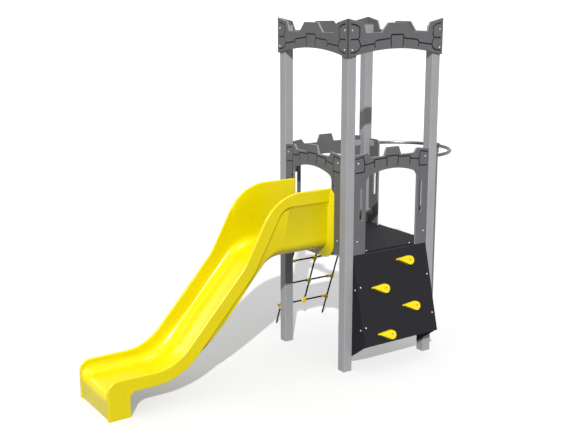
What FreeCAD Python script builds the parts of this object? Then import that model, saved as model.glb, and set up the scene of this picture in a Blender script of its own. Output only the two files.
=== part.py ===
import FreeCAD, Part
import math
import os
import re

import Sketcher

# A castle play tower with a straight slide, a climbing wall, a climbing net and a fireman's pole.
# Millimetres, +Z up. The origin is on the ground at the centre of the tower's four posts.
# The slide leaves towards -Y, the climbing wall is on +X, the net on -X and the pole on +Y.
# A piece of one side is drawn on the slide side and turned about Z to its own side.

Vector = FreeCAD.Vector
SIDE_TURN = {"slide": 0, "wall": 90, "pole": 180, "net": 270}

SIZES = {
    # posts
    "post_spacing": 1000, "post_width": 95, "post_wall": 3, "post_height": 3217, "post_round": 6,
    "cap_plate": 8, "cap_spigot": 14, "cap_clearance": 0.5,
    "foot_plate": 10, "anchor_hole": 18,
    # panels and their fixings
    "board": 18, "edge_break": 2, "joint_width": 13, "joint_depth": 2.5, "panel_gap": 0.5,
    "panel_recess": 6,
    "bolt_shank": 5, "bolt_clearance": 0.5, "bolt_head": 9, "bolt_dome": 5, "bolt_bite": 12,
    "tab_length": 68, "tab_height": 60, "tab_plate": 5, "tab_bolt_inset": 46,
    # crown
    "crown_drop": 256, "crown_rise": 66, "crown_notch": 212, "crown_merlon": 299, "crown_corner": 336,
    "crown_shoulder": 300, "crown_end_top": 160, "crown_end_foot": 196, "crown_mid_foot": 185,
    "crown_mid_top": 108,
    "crown_arch_inset": 23, "crown_bolt_out": 17, "crown_bolt_low": 64, "crown_bolt_high": 234,
    # arch panels
    "panel_drop": 15, "panel_base": "=deck_top - panel_drop", "arch_half": 310, "arch_spring": 688,
    "arch_haunch": 741, "arch_rise": 786,
    "haunch_inset": 45, "panel_notch": 910, "panel_merlon": 989, "panel_shoulder": 956,
    "panel_corner": 938,
    "panel_end_top": 152, "panel_end_foot": 187, "panel_mid_foot": 105, "panel_mid_top": 75,
    "slot_centre": 88, "slot_width": 38, "slot_low": 326, "slot_high": 631, "slot_round": 8,
    "tab_low": 129, "tab_high": 865, "pole_panel_width": 147, "pole_panel_round": 40,
    # deck
    "deck_top": 1150, "deck_board": 20, "deck_gap": 1.5,
    "beam_width": 30, "beam_height": 20, "beam_wall": 2.5, "beam_inset": 15, "screw_place": 267,
    "screw_head": 9,
    "screw_shank": 4, "screw_dome": 3,
    "bearer_width": 60, "bearer_height": 30, "bearer_place": 220,
    # chute
    "chute_half": 318, "trough_half": 292, "chute_wall": 8, "side_height": 579,
    "rim_top": "=bed_top + side_height", "rim_low": 350, "band_depth": 125,
    "knee_reach": 608.5, "knee_out": "=post_spacing / 2 + post_width / 2 - panel_recess + knee_reach",
    "knee_round": 456, "bend_drop": 617, "bend_height": "=rim_top - bend_drop", "bend_round": 500,
    "steep_angle": 61.3,
    "slope_angle": 47.6, "runout": 634, "exit_round": 100, "rim_low_round": 430,
    "bed_rise": 22, "bed_top": "=deck_top + bed_rise", "bed_depth": 172, "bed_low": 228,
    "bed_knee_round": 340, "bed_low_round": 430,
    "bed_corner": 97, "lip_round": 90, "lip_recess": 15, "lip_reach": 42, "foot_length": 204,
    "foot_round": 64,
    "flange_half": 360, "flange_flare": 26, "flange_drop": 102, "flange_round": 150,
    "flange_bolt_inset": 25,
    "flange_bolt_low": 115, "flange_bolt_pitch": 200, "flange_bolt_bite": 14,
    "foot_angle_leg": 50, "foot_angle_plate": 5, "foot_angle_half": 250, "foot_anchor_spacing": 400,
    "foot_anchor_hole": 12,
    # climbing wall
    "wall_out": "=post_spacing / 2 + post_width / 2 - panel_recess - deck_gap",
    "wall_length": 866, "wall_lean": 14.2, "wall_gap": 2.5,
    "wall_half": "=post_spacing / 2 - post_width / 2 - wall_gap", "cheek_lap": 17.5,
    "cheek_back": "=post_spacing / 2 - post_width / 2 + cheek_lap", "cheek_rake": 36.3,
    "batten": 40, "batten_top": 60, "batten_bottom": 40, "wall_bolt_high": 302, "wall_bolt_low": 684,
    "grip_round": 48, "grip_tip": 9, "grip_reach": 142, "grip_thick": 42, "grip_taper": 8,
    "grip_turn": 11,
    "grip_recess": 12, "grip_recess_depth": 22, "grip_bolt_head": 10,
    # net
    "net_recess": 1.5, "net_out": "=post_spacing / 2 + post_width / 2 - net_recess",
    "net_lean": 21.1, "net_pitch": 310, "rope_radius": 9, "rope_clearance": 0.3,
    "row_high": 418, "row_mid": 718, "row_low": 997, "net_start": 55, "net_end": 1225,
    "collar_radius": 16, "collar_length": 54, "stub_length": 62, "hanger_plate": 6, "hanger_height": 34,
    "hanger_sleeve": 50, "sleeve_radius": 13,
    # hoop and pole
    "hoop_rise": 833, "hoop_height": "=deck_top + hoop_rise", "hoop_radius": 17, "tube_wall": 2.5,
    "flange_disc": 42, "flange_plate": 6,
    "flange_bolt_place": 30, "pole_radius": 19, "clamp_radius": 27, "clamp_gap": 0.3, "clamp_half": 30,
    "pole_foot_radius": 60,
    "pole_foot_plate": 8, "pole_anchor_circle": 90, "pole_anchor_hole": 10,
}

# Climbing grips on the wall: across from the middle, and down from the top edge along the wall.
GRIP_PLACES = [(200, 134), (-141, 355), (201, 580), (-140, 798)]

# Routed stone joints, as (share of the panel's half width, height above the panel's base).
# The other half of a panel repeats them, mirrored.
CROWN_JOINTS = [
    [(0.95, 290), (0.85, 279), (0.78, 258), (0.78, 180), (0.81, 157), (0.95, 155)],
    [(0.81, 157), (0.77, 122), (0.76, 95), (0.78, 64), (0.85, 44), (0.95, 37)],
    [(0.76, 95), (0.47, 115), (0.46, 132), (0.42, 144), (0.16, 157), (0.135, 168), (0.125, 191), (0, 191)],
    [(0.47, 115), (0.462, 84)],
    [(0.135, 168), (0.122, 84)],
]
PANEL_JOINTS = [
    [(0.96, 905), (0.77, 922), (0.73, 850), (0.74, 780)],
    [(0.96, 776), (0.74, 780)],
    [(0.73, 846), (0.49, 861), (0.48, 883), (0.17, 890), (0.15, 904), (0, 904)],
    [(0.48, 872), (0.47, 812)],
    [(0.16, 893), (0.145, 810)],
]
LEG_JOINT_SHARE = 0.74
LEG_JOINT_TICK = 0.045
LEG_JOINT_HEIGHTS = [650, 530, 410, 290, 170]

doc = FreeCAD.newDocument("castle_slide_tower")
sheet = doc.addObject("Spreadsheet::Sheet", "Sizes")
for row, alias in enumerate(SIZES, start=1):
    sheet.set("A%d" % row, alias)
    sheet.setAlias("B%d" % row, alias)
for row, amount in enumerate(SIZES.values(), start=1):
    sheet.set("B%d" % row, str(amount))
doc.recompute()

PARTS = []
FUNCTIONS = ("sin", "cos", "tan", "sqrt")

# Places that several pieces share, written with the sheet's names.
POST_OUTER = "(post_spacing / 2 + post_width / 2)"
POST_INNER = "(post_spacing / 2 - post_width / 2)"
PANEL_HALF = "(%s - panel_gap)" % POST_INNER
PANEL_FACE = "(%s - panel_recess)" % POST_OUTER
PANEL_BACK = "(%s - board)" % PANEL_FACE
CROWN_HALF = "(%s + board / 2)" % POST_OUTER
CROWN_BASE = "(post_height - crown_drop)"
DECK_EDGE = "(%s - deck_gap)" % PANEL_BACK
DECK_UNDER = "(deck_top - deck_board)"
BEAM_CENTRE = "(%s - beam_inset)" % DECK_EDGE
BEAM_BASE = "(%s - beam_height)" % DECK_UNDER
BATTEN_CENTRE = "(%s - board - batten / 2)" % POST_INNER
HOLE = "(bolt_shank + bolt_clearance)"
HOOP_CENTRE = "(%s + flange_plate)" % POST_OUTER
POLE_OUT = "(%s + post_spacing / 2)" % HOOP_CENTRE


def bound(text):
    """The expression with each size named in the sheet."""
    def name(match):
        word = match.group(0)
        return word if word in FUNCTIONS else "Sizes." + word
    return re.sub(r"[a-z][a-z_]+", name, str(text))


def size(text):
    """The number that an expression has now."""
    number = sheet.evalExpression(bound(text))
    return float(getattr(number, "Value", number))


def tie(item, prop, text):
    item.setExpression(prop, bound(text))


def keep(item, label, placement=None):
    """Marks an object as a sub-part that is written out under its label."""
    item.Label = label
    if placement is not None:
        item.Placement = placement
    PARTS.append(item)
    return item


def turned(side):
    """The placement that moves a piece from the slide side to its own side."""
    return FreeCAD.Placement(Vector(0, 0, 0), FreeCAD.Rotation(Vector(0, 0, 1), SIDE_TURN[side]))


def leaning(side, out, height, lean):
    """The placement of a frame that hangs at a height and leans outwards below it."""
    tilt = FreeCAD.Rotation(Vector(1, 0, 0), -size(lean))
    hung = FreeCAD.Placement(Vector(0, -size(out), size(height)), tilt)
    return turned(side).multiply(hung)


def new_body(name):
    return doc.addObject("PartDesign::Body", name)


def new_sketch(body, plane, offset="0"):
    sketch = body.newObject("Sketcher::SketchObject", body.Name + "_sketch")
    origin = [item for item in body.Origin.OriginFeatures if item.Role == plane + "_Plane"][0]
    sketch.AttachmentSupport = [(origin, "")]
    sketch.MapMode = "FlatFace"
    tie(sketch, "AttachmentOffset.Base.z", offset)
    return sketch


def fix_point(sketch, item, end, across, up):
    """Ties one point of a sketch to two expressions."""
    for kind, text in (("DistanceX", across), ("DistanceY", up)):
        index = sketch.addConstraint(Sketcher.Constraint(kind, -1, 1, item, end, size(text)))
        tie(sketch, "Constraints[%d]" % index, text)


def draw_loop(sketch, corners):
    """A closed outline of (x, y) corners, or (x, y, via_x, via_y) when an arc leads to the next."""
    points = [Vector(size(corner[0]), size(corner[1]), 0) for corner in corners]
    items = []
    for index, corner in enumerate(corners):
        start = points[index]
        end = points[(index + 1) % len(points)]
        if len(corner) == 4:
            middle = Vector(size(corner[2]), size(corner[3]), 0)
            counter = (middle - start).cross(end - middle).z > 0
            arc = Part.Arc(start, middle, end) if counter else Part.Arc(end, middle, start)
            items.append(sketch.addGeometry(arc, False))
        else:
            items.append(sketch.addGeometry(Part.LineSegment(start, end), False))

    def end_at(item, point):
        geometry = sketch.Geometry[item]
        first = geometry.StartPoint.distanceToPoint(point)
        return 1 if first < geometry.EndPoint.distanceToPoint(point) else 2

    for index, corner in enumerate(corners):
        item = items[index]
        before = items[index - 1]
        end = end_at(item, points[index])
        joined = Sketcher.Constraint("Coincident", before, end_at(before, points[index]), item, end)
        sketch.addConstraint(joined)
        fix_point(sketch, item, end, corner[0], corner[1])
        if len(corner) == 4:
            middle = Vector(size(corner[2]), size(corner[3]), 0)
            guide = sketch.addGeometry(Part.Point(middle), True)
            fix_point(sketch, guide, 1, corner[2], corner[3])
            sketch.addConstraint(Sketcher.Constraint("PointOnObject", guide, 1, item))


def draw_box(sketch, left, bottom, right, top):
    draw_loop(sketch, [(left, bottom), (right, bottom), (right, top), (left, top)])


def draw_circle(sketch, across, up, radius):
    centre = Vector(size(across), size(up), 0)
    item = sketch.addGeometry(Part.Circle(centre, Vector(0, 0, 1), size(radius)), False)
    fix_point(sketch, item, 3, across, up)
    index = sketch.addConstraint(Sketcher.Constraint("Radius", item, size(radius)))
    tie(sketch, "Constraints[%d]" % index, radius)


def draw_slot(sketch, across, low, high, width, corner):
    """An upright hand slot with rounded corners."""
    bulge = "(%s) * 0.29289" % corner
    left = "(%s - %s / 2)" % (across, width)
    right = "(%s + %s / 2)" % (across, width)
    draw_loop(sketch, [
        ("%s + %s" % (left, corner), low),
        ("%s - %s" % (right, corner), low, "%s - %s" % (right, bulge), "%s + %s" % (low, bulge)),
        (right, "%s + %s" % (low, corner)),
        (right, "%s - %s" % (high, corner), "%s - %s" % (right, bulge), "%s - %s" % (high, bulge)),
        ("%s - %s" % (right, corner), high),
        ("%s + %s" % (left, corner), high, "%s + %s" % (left, bulge), "%s - %s" % (high, bulge)),
        (left, "%s - %s" % (high, corner)),
        (left, "%s + %s" % (low, corner), "%s + %s" % (left, bulge), "%s + %s" % (low, bulge)),
    ])


def pad(body, sketch, length, middle=False, back=False):
    feature = body.newObject("PartDesign::Pad", body.Name + "_pad")
    feature.Profile = sketch
    tie(feature, "Length", length)
    feature.Midplane = middle
    feature.Reversed = back
    return feature


def pocket(body, sketch, length="0", both=False, back=False):
    """A cut. With no length it goes right through, both ways."""
    before = body.Shape.Volume if body.Shape and not body.Shape.isNull() else 0
    feature = body.newObject("PartDesign::Pocket", body.Name + "_pocket")
    feature.Profile = sketch
    if length == "0":
        feature.Type = "ThroughAll"
        feature.Midplane = True
    else:
        tie(feature, "Length", length)
        feature.Midplane = both
        feature.Reversed = back
    doc.recompute()
    if before and body.Shape.Volume > before - 1:
        raise ValueError(body.Name + ": a pocket cut nothing")
    return feature


def break_edges(body, feature, facing, amount):
    """Chamfers the outline edges of the faces that look one way."""
    doc.recompute()
    faces = []
    for index, face in enumerate(feature.Shape.Faces, start=1):
        if face.Surface.TypeId == "Part::GeomPlane" and face.normalAt(0, 0).dot(facing) > 0.999:
            faces.append("Face%d" % index)
    chamfer = body.newObject("PartDesign::Chamfer", body.Name + "_edges")
    chamfer.Base = (feature, faces)
    tie(chamfer, "Size", amount)
    doc.recompute()
    return chamfer


def mirrored_half(half):
    """The whole outline from its right half, listed from the bottom up."""
    other = [("-(%s)" % across, up) for across, up in reversed(half)]
    return half + other


def rounded_run(corners):
    """Edges of an open path of (y, z, radius) corners, with a tangent arc where there is a radius."""
    edges = []
    last = Vector(0, corners[0][0], corners[0][1])
    for index in range(1, len(corners)):
        here = Vector(0, corners[index][0], corners[index][1])
        radius = corners[index][2] if len(corners[index]) == 3 else 0
        if radius and index < len(corners) - 1:
            after = Vector(0, corners[index + 1][0], corners[index + 1][1])
            towards = (last - here).normalize()
            away = (after - here).normalize()
            half_turn = (math.pi - towards.getAngle(away)) / 2
            reach = radius * math.tan(half_turn)
            start = here + towards * reach
            end = here + away * reach
            inward = (towards + away).normalize()
            middle = here + inward * (radius / math.cos(half_turn) - radius)
            edges.append(Part.LineSegment(last, start).toShape())
            edges.append(Part.Arc(start, middle, end).toShape())
            last = end
        else:
            edges.append(Part.LineSegment(last, here).toShape())
            last = here
    return edges


def slab(corners, low_x, high_x):
    """A plate between two X planes with a (y, z, radius) outline."""
    edges = rounded_run(corners + [corners[0][:2]])
    face = Part.Face(Part.Wire(edges))
    face.translate(Vector(low_x, 0, 0))
    return face.extrude(Vector(high_x - low_x, 0, 0))


def joint_cutter(name, joints, half_width, base, face, depth):
    """The routed joints of a panel: a round-ended groove along each line, mirrored to the other half."""
    width = size("joint_width")
    pieces = []
    for line in joints:
        for sign in (1, -1):
            points = [Vector(sign * share * half_width, 0, base + up) for share, up in line]
            for start, end in zip(points, points[1:]):
                along = (end - start).normalize()
                across = along.cross(Vector(0, 1, 0)) * (width / 2)
                corners = [start + across, end + across, end - across, start - across, start + across]
                pieces.append(Part.Face(Part.makePolygon(corners)))
            for point in points:
                circle = Part.Circle(point, Vector(0, 1, 0), width / 2)
                pieces.append(Part.Face(Part.Wire(circle.toShape())))
    flat = pieces[0].fuse(pieces[1:]).removeSplitter()
    solid = flat.extrude(Vector(0, 2 * depth, 0))
    solid.translate(Vector(0, -face - depth, 0))
    item = doc.addObject("Part::Feature", name)
    item.Shape = solid
    return item


def routed(label, blank, cutter, side):
    """A panel blank less its joints, placed on its side of the tower."""
    doc.recompute()
    item = doc.addObject("Part::Cut", label)
    item.Base = blank
    item.Tool = cutter
    return keep(item, label, turned(side))


def place_copies(label, master, placements):
    """One node of separate equal solids: copies of a master at given placements."""
    doc.recompute()
    copies = []
    for placement in placements:
        copy = master.Shape.copy()
        copy.Placement = placement.multiply(copy.Placement)
        copies.append(copy)
    item = doc.addObject("Part::Feature", label)
    item.Shape = Part.makeCompound(copies)
    return keep(item, label)


def bolt_master(name, head, dome, shank, length):
    """A button-head bolt along Y: its head ends at Y = 0 and its shank runs towards +Y."""
    body = new_body(name)
    sketch = new_sketch(body, "XY")
    draw_loop(sketch, [
        ("0", "-(%s)" % dome, "%s * 0.6" % head, "-(%s) * 0.72" % dome),
        (head, "0"), (shank, "0"), (shank, length), ("0", length),
    ])
    turn = body.newObject("PartDesign::Revolution", name + "_turn")
    turn.Profile = sketch
    turn.ReferenceAxis = (sketch, ["V_Axis"])
    turn.Angle = 360
    return body


def bolt_at(side, across, out, height):
    """A bolt's placement: its head against a face that is so far out on one side."""
    return turned(side).multiply(FreeCAD.Placement(Vector(across, -out, height), FreeCAD.Rotation()))


# The posts.

POST_CORNERS = {"slide_wall": 0, "wall_pole": 90, "pole_net": 180, "net_slide": 270}


def post_place(turn):
    rotation = FreeCAD.Rotation(Vector(0, 0, 1), turn)
    corner = Vector(size("post_spacing / 2"), -size("post_spacing / 2"), 0)
    return FreeCAD.Placement(rotation.multVec(corner), rotation)


def make_post(name, turn):
    """A square tube with the crown bolt holes in its two outer faces."""
    body = new_body("post_" + name)
    sketch = new_sketch(body, "XY")
    draw_box(sketch, "-post_width / 2", "-post_width / 2", "post_width / 2", "post_width / 2")
    tube = pad(body, sketch, "post_height")
    doc.recompute()
    upright = []
    for index, edge in enumerate(tube.Shape.Edges, start=1):
        if abs(edge.tangentAt(edge.FirstParameter).z) > 0.99:
            upright.append("Edge%d" % index)
    rounds = body.newObject("PartDesign::Fillet", body.Name + "_rounds")
    rounds.Base = (tube, upright)
    tie(rounds, "Radius", "post_round")
    doc.recompute()
    bore = new_sketch(body, "XY")
    draw_box(bore, "-(post_width / 2 - post_wall)", "-(post_width / 2 - post_wall)",
             "post_width / 2 - post_wall", "post_width / 2 - post_wall")
    pocket(body, bore)
    holes = new_sketch(body, "XZ")
    for up in ("crown_bolt_low", "crown_bolt_high"):
        draw_circle(holes, "crown_bolt_out", "%s + %s" % (CROWN_BASE, up), HOLE)
    if turn == 180:
        hoop_holes(holes, "0")
    pocket(body, holes, "post_width", back=True)
    holes = new_sketch(body, "YZ")
    for up in ("crown_bolt_low", "crown_bolt_high"):
        draw_circle(holes, "-crown_bolt_out", "%s + %s" % (CROWN_BASE, up), HOLE)
    if turn == 90:
        hoop_holes(holes, "0")
    pocket(body, holes, "post_width", back=True)
    keep(body, "post_" + name, post_place(turn))


def hoop_holes(sketch, across):
    for sign in ("+", "-"):
        draw_circle(sketch, across, "hoop_height %s flange_bolt_place" % sign, HOLE)


def make_cap(name, turn):
    """A moulded plug: a plate on the post's end and a spigot inside the tube."""
    body = new_body("post_cap_" + name)
    sketch = new_sketch(body, "XY", "post_height")
    draw_box(sketch, "-post_width / 2", "-post_width / 2", "post_width / 2", "post_width / 2")
    plate = pad(body, sketch, "cap_plate")
    break_edges(body, plate, Vector(0, 0, 1), "cap_plate / 2")
    spigot = new_sketch(body, "XY", "post_height")
    half = "(post_width / 2 - post_wall - cap_clearance)"
    draw_box(spigot, "-" + half, "-" + half, half, half)
    pad(body, spigot, "cap_spigot", back=True)
    keep(body, "post_cap_" + name, post_place(turn))


def make_feet():
    """Plates welded inside the posts' ends, each with a ground anchor's hole."""
    body = new_body("post_foot_master")
    sketch = new_sketch(body, "XY")
    half = "(post_width / 2 - post_wall)"
    draw_box(sketch, "-" + half, "-" + half, half, half)
    draw_circle(sketch, "0", "0", "anchor_hole / 2")
    pad(body, sketch, "foot_plate")
    place_copies("post_foot_plates", body, [post_place(turn) for turn in POST_CORNERS.values()])


# The crown.

def make_crown(side):
    """A battlement board on the outer faces of two posts, with a flat arch below."""
    body = new_body("crown_blank_" + side)
    sketch = new_sketch(body, "XZ", POST_OUTER)
    half = [
        (CROWN_HALF, CROWN_BASE),
        (CROWN_HALF, CROWN_BASE + " + crown_corner"),
        (CROWN_HALF + " - crown_end_top", CROWN_BASE + " + crown_shoulder"),
        (CROWN_HALF + " - crown_end_foot", CROWN_BASE + " + crown_notch"),
        ("crown_mid_foot", CROWN_BASE + " + crown_notch"),
        ("crown_mid_top", CROWN_BASE + " + crown_merlon"),
    ]
    whole = mirrored_half(half)
    arch_end = CROWN_HALF + " - crown_arch_inset"
    whole.append(("-(%s)" % arch_end, CROWN_BASE, "0", CROWN_BASE + " + crown_rise"))
    whole.append((arch_end, CROWN_BASE))
    draw_loop(sketch, whole)
    board = pad(body, sketch, "board")
    ends = [CROWN_HALF, "-" + CROWN_HALF]
    doc.recompute()
    mitres = []
    for index, edge in enumerate(board.Shape.Edges, start=1):
        box = edge.BoundBox
        for end in ends:
            at_end = abs(box.XMin - size(end)) < 0.01 and abs(box.XMax - size(end)) < 0.01
            if at_end and abs(box.YMin + size(POST_OUTER)) < 0.01 and box.ZLength > 1 and box.YLength < 0.01:
                mitres.append("Edge%d" % index)
    mitre = body.newObject("PartDesign::Chamfer", body.Name + "_mitre")
    mitre.Base = (board, mitres)
    tie(mitre, "Size", "board / 2 + edge_break / 2")
    break_edges(body, mitre, Vector(0, -1, 0), "edge_break")
    holes = new_sketch(body, "XZ", POST_OUTER)
    for sign in ("", "-"):
        for up in ("crown_bolt_low", "crown_bolt_high"):
            across = sign + "(post_spacing / 2 + crown_bolt_out)"
            draw_circle(holes, across, "%s + %s" % (CROWN_BASE, up), HOLE)
    pocket(body, holes, "3 * board", both=True)
    half_width = size(CROWN_HALF)
    cutter = joint_cutter("crown_joints_" + side, CROWN_JOINTS, half_width, size(CROWN_BASE),
                          size(POST_OUTER + " + board"), size("joint_depth"))
    routed("crown_panel_" + side, body, cutter, side)


# The arch panels.

def make_arch_panel(side):
    """A castle board between two posts with a doorway; the slide side's board carries the chute."""
    body = new_body("arch_blank_" + side)
    sketch = new_sketch(body, "XZ", PANEL_BACK)
    half = [
        ("arch_half", "panel_base"),
        (PANEL_HALF, "panel_base"),
        (PANEL_HALF, "panel_base + panel_corner"),
        (PANEL_HALF + " - panel_end_top", "panel_base + panel_shoulder"),
        (PANEL_HALF + " - panel_end_foot", "panel_base + panel_notch"),
        ("panel_mid_foot", "panel_base + panel_notch"),
        ("panel_mid_top", "panel_base + panel_merlon"),
    ]
    whole = mirrored_half(half)
    haunch = "(arch_half - haunch_inset)"
    bulge_x = "(arch_half - haunch_inset * 0.3)"
    bulge_z = "(panel_base + arch_spring + (arch_haunch - arch_spring) * 0.56)"
    whole.append(("-arch_half", "panel_base + arch_spring", "-" + bulge_x, bulge_z))
    whole.append(("-" + haunch, "panel_base + arch_haunch", "0", "panel_base + arch_rise"))
    whole.append((haunch, "panel_base + arch_haunch", bulge_x, bulge_z))
    whole.append(("arch_half", "panel_base + arch_spring"))
    draw_loop(sketch, whole)
    board = pad(body, sketch, "board")
    break_edges(body, board, Vector(0, -1, 0), "edge_break")
    holes = new_sketch(body, "XZ", PANEL_BACK)
    for sign in ("", "-"):
        for up in ("tab_low", "tab_high"):
            draw_circle(holes, "%s(%s - tab_bolt_inset)" % (sign, POST_INNER), "panel_base + " + up, HOLE)
        if side == "slide":
            for height in flange_bolt_heights():
                draw_circle(holes, sign + "(arch_half + flange_bolt_inset)", height, HOLE)
        else:
            draw_slot(holes, "%s(%s - slot_centre)" % (sign, PANEL_HALF), "(panel_base + slot_low)",
                      "(panel_base + slot_high)", "slot_width", "slot_round")
    pocket(body, holes, "3 * board", both=True)
    joints = list(PANEL_JOINTS)
    if side == "slide":
        joints.append([(LEG_JOINT_SHARE, 780), (LEG_JOINT_SHARE, LEG_JOINT_HEIGHTS[-1])])
        for height in LEG_JOINT_HEIGHTS:
            joints.append([(LEG_JOINT_SHARE, height), (LEG_JOINT_SHARE + LEG_JOINT_TICK, height - 12)])
    cutter = joint_cutter("arch_joints_" + side, joints, size(PANEL_HALF), size("panel_base"),
                          size(PANEL_FACE), size("joint_depth"))
    routed("arch_panel_" + side, body, cutter, side)


def make_pole_panel(name, sign):
    """A narrow board beside the pole opening, with a hand slot."""
    body = new_body("pole_panel_" + name)
    sketch = new_sketch(body, "XZ", PANEL_BACK)
    inner = "(%s - pole_panel_width)" % PANEL_HALF
    top = "(panel_base + panel_notch)"
    bulge = "pole_panel_round * 0.29289"
    corners = [
        (inner, "panel_base"), (PANEL_HALF, "panel_base"), (PANEL_HALF, top),
        (inner + " + pole_panel_round", top, inner + " + " + bulge, top + " - " + bulge),
        (inner, top + " - pole_panel_round"),
    ]
    sided = []
    for corner in corners:
        sided.append(tuple(text if index % 2 else sign + "(%s)" % text for index, text in enumerate(corner)))
    draw_loop(sketch, sided)
    board = pad(body, sketch, "board")
    break_edges(body, board, Vector(0, -1, 0), "edge_break")
    holes = new_sketch(body, "XZ", PANEL_BACK)
    for up in ("tab_low", "tab_high"):
        draw_circle(holes, "%s(%s - tab_bolt_inset)" % (sign, POST_INNER), "panel_base + " + up, HOLE)
    draw_slot(holes, "%s(%s - slot_centre)" % (sign, PANEL_HALF), "(panel_base + slot_low)",
              "(panel_base + slot_high)", "slot_width", "slot_round")
    pocket(body, holes, "3 * board", both=True)
    keep(body, "pole_side_panel_" + name, turned("pole"))


def make_tabs():
    """Steel tabs welded to the posts, one behind each panel bolt."""
    body = new_body("tab_master")
    sketch = new_sketch(body, "XZ")
    draw_box(sketch, "-tab_length", "-tab_height / 2", "0", "tab_height / 2")
    draw_circle(sketch, "-tab_bolt_inset", "0", HOLE)
    pad(body, sketch, "tab_plate", back=True)
    places = []
    for side in SIDE_TURN:
        for sign in (1, -1):
            for up in ("tab_low", "tab_high"):
                at = Vector(sign * size(POST_INNER), -size(PANEL_BACK), size("panel_base + " + up))
                flip = FreeCAD.Rotation(Vector(0, 1, 0), 0 if sign > 0 else 180)
                places.append(turned(side).multiply(FreeCAD.Placement(at, flip)))
    place_copies("panel_tabs", body, places)


def panel_bolt_places():
    places = []
    for side in SIDE_TURN:
        for sign in (1, -1):
            for up in ("tab_low", "tab_high"):
                across = sign * size("%s - tab_bolt_inset" % POST_INNER)
                places.append(bolt_at(side, across, size(PANEL_FACE), size("panel_base + " + up)))
    return places


def crown_bolt_places():
    places = []
    for side in SIDE_TURN:
        for sign in (1, -1):
            for up in ("crown_bolt_low", "crown_bolt_high"):
                across = sign * size("post_spacing / 2 + crown_bolt_out")
                height = size("%s + %s" % (CROWN_BASE, up))
                places.append(bolt_at(side, across, size(POST_OUTER + " + board"), height))
    return places


# The deck.

def make_deck():
    """The platform board, notched round the posts, with its screw holes."""
    body = new_body("deck_board")
    sketch = new_sketch(body, "XY", DECK_UNDER)
    edge = DECK_EDGE
    notch = "(%s - deck_gap)" % POST_INNER
    corners = []
    for x_sign, y_sign in (("", "-"), ("", ""), ("-", ""), ("-", "-")):
        inmost = (x_sign + notch, y_sign + notch)
        near = [(x_sign + notch, y_sign + edge), inmost, (x_sign + edge, y_sign + notch)]
        corners.extend(near if (x_sign == "") == (y_sign == "-") else reversed(near))
    draw_loop(sketch, corners)
    for along in ("screw_place", "-screw_place"):
        for out in (BEAM_CENTRE, "-" + BEAM_CENTRE):
            draw_circle(sketch, along, out, "screw_shank + bolt_clearance")
            draw_circle(sketch, out, along, "screw_shank + bolt_clearance")
    pad(body, sketch, "deck_board")
    keep(body, "deck_board")


def make_beam(side):
    """A rectangular tube under the deck's edge, welded between two posts."""
    body = new_body("deck_beam_" + side)
    sketch = new_sketch(body, "YZ")
    near = "-(%s - beam_width / 2)" % BEAM_CENTRE
    far = "-(%s + beam_width / 2)" % BEAM_CENTRE
    draw_box(sketch, far, BEAM_BASE, near, DECK_UNDER)
    draw_box(sketch, far + " + beam_wall", BEAM_BASE + " + beam_wall", near + " - beam_wall",
             DECK_UNDER + " - beam_wall")
    pad(body, sketch, "2 * " + POST_INNER, middle=True)
    holes = new_sketch(body, "XY", DECK_UNDER)
    for along in ("screw_place", "-screw_place"):
        draw_circle(holes, along, "-" + BEAM_CENTRE, "screw_shank + bolt_clearance")
    doc.recompute()
    pocket(body, holes, "2 * beam_wall", both=True)
    keep(body, "deck_beam_" + side, turned(side))


def make_bearer(name, sign):
    """A timber-size box bearer under the middle of the deck, between two of its beams."""
    body = new_body("deck_bearer_" + name)
    sketch = new_sketch(body, "YZ")
    draw_box(sketch, "%sbearer_place - bearer_width / 2" % sign, DECK_UNDER + " - bearer_height",
             "%sbearer_place + bearer_width / 2" % sign, DECK_UNDER)
    pad(body, sketch, "2 * (%s - beam_width / 2)" % BEAM_CENTRE, middle=True)
    keep(body, "deck_bearer_" + name)


def make_deck_screws():
    """Pan-head screws through the deck into its beams."""
    bite = "deck_board + beam_height / 2"
    body = bolt_master("screw_master", "screw_head", "screw_dome", "screw_shank", bite)
    places = []
    for side in SIDE_TURN:
        for sign in (1, -1):
            at = Vector(sign * size("screw_place"), -size(BEAM_CENTRE), size("deck_top"))
            upright = FreeCAD.Placement(at, FreeCAD.Rotation(Vector(1, 0, 0), -90))
            places.append(turned(side).multiply(upright))
    place_copies("deck_screws", body, places)


# The slide.

def chute_lines():
    """The chute's side view: where its bends are, as distances out from the tower, and its slopes."""
    steep = math.tan(math.radians(size("steep_angle")))
    slope = math.tan(math.radians(size("slope_angle")))
    bend_out = size("knee_out") + (size("rim_top") - size("bend_height")) / steep
    low_out = bend_out + (size("bend_height") - size("rim_low")) / slope
    exit_out = low_out + size("runout")
    return {"steep": steep, "slope": slope, "bend_out": bend_out, "low_out": low_out, "exit_out": exit_out}


def rim_run(start, depth):
    """The rim's side line, or a line so far under it, from the tower to the last bend."""
    line = chute_lines()
    steep_half = math.radians(size("steep_angle")) / 2
    bend_half = math.radians(size("steep_angle") + size("slope_angle")) / 2
    slope_half = math.radians(size("slope_angle")) / 2
    bend_turn = math.radians(size("steep_angle") - size("slope_angle")) / 2
    knee = size("knee_out") - depth * math.tan(steep_half)
    bend_shift = depth / math.cos(bend_turn)
    bend = line["bend_out"] - bend_shift * math.sin(bend_half)
    bend_height = size("bend_height") - bend_shift * math.cos(bend_half)
    low = line["low_out"] - depth * math.tan(slope_half)
    return [
        (-start, size("rim_top") - depth),
        (-knee, size("rim_top") - depth, size("knee_round") - depth),
        (-bend, bend_height, size("bend_round") + depth),
        (-low, size("rim_low") - depth, size("rim_low_round") + depth),
    ]


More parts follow.
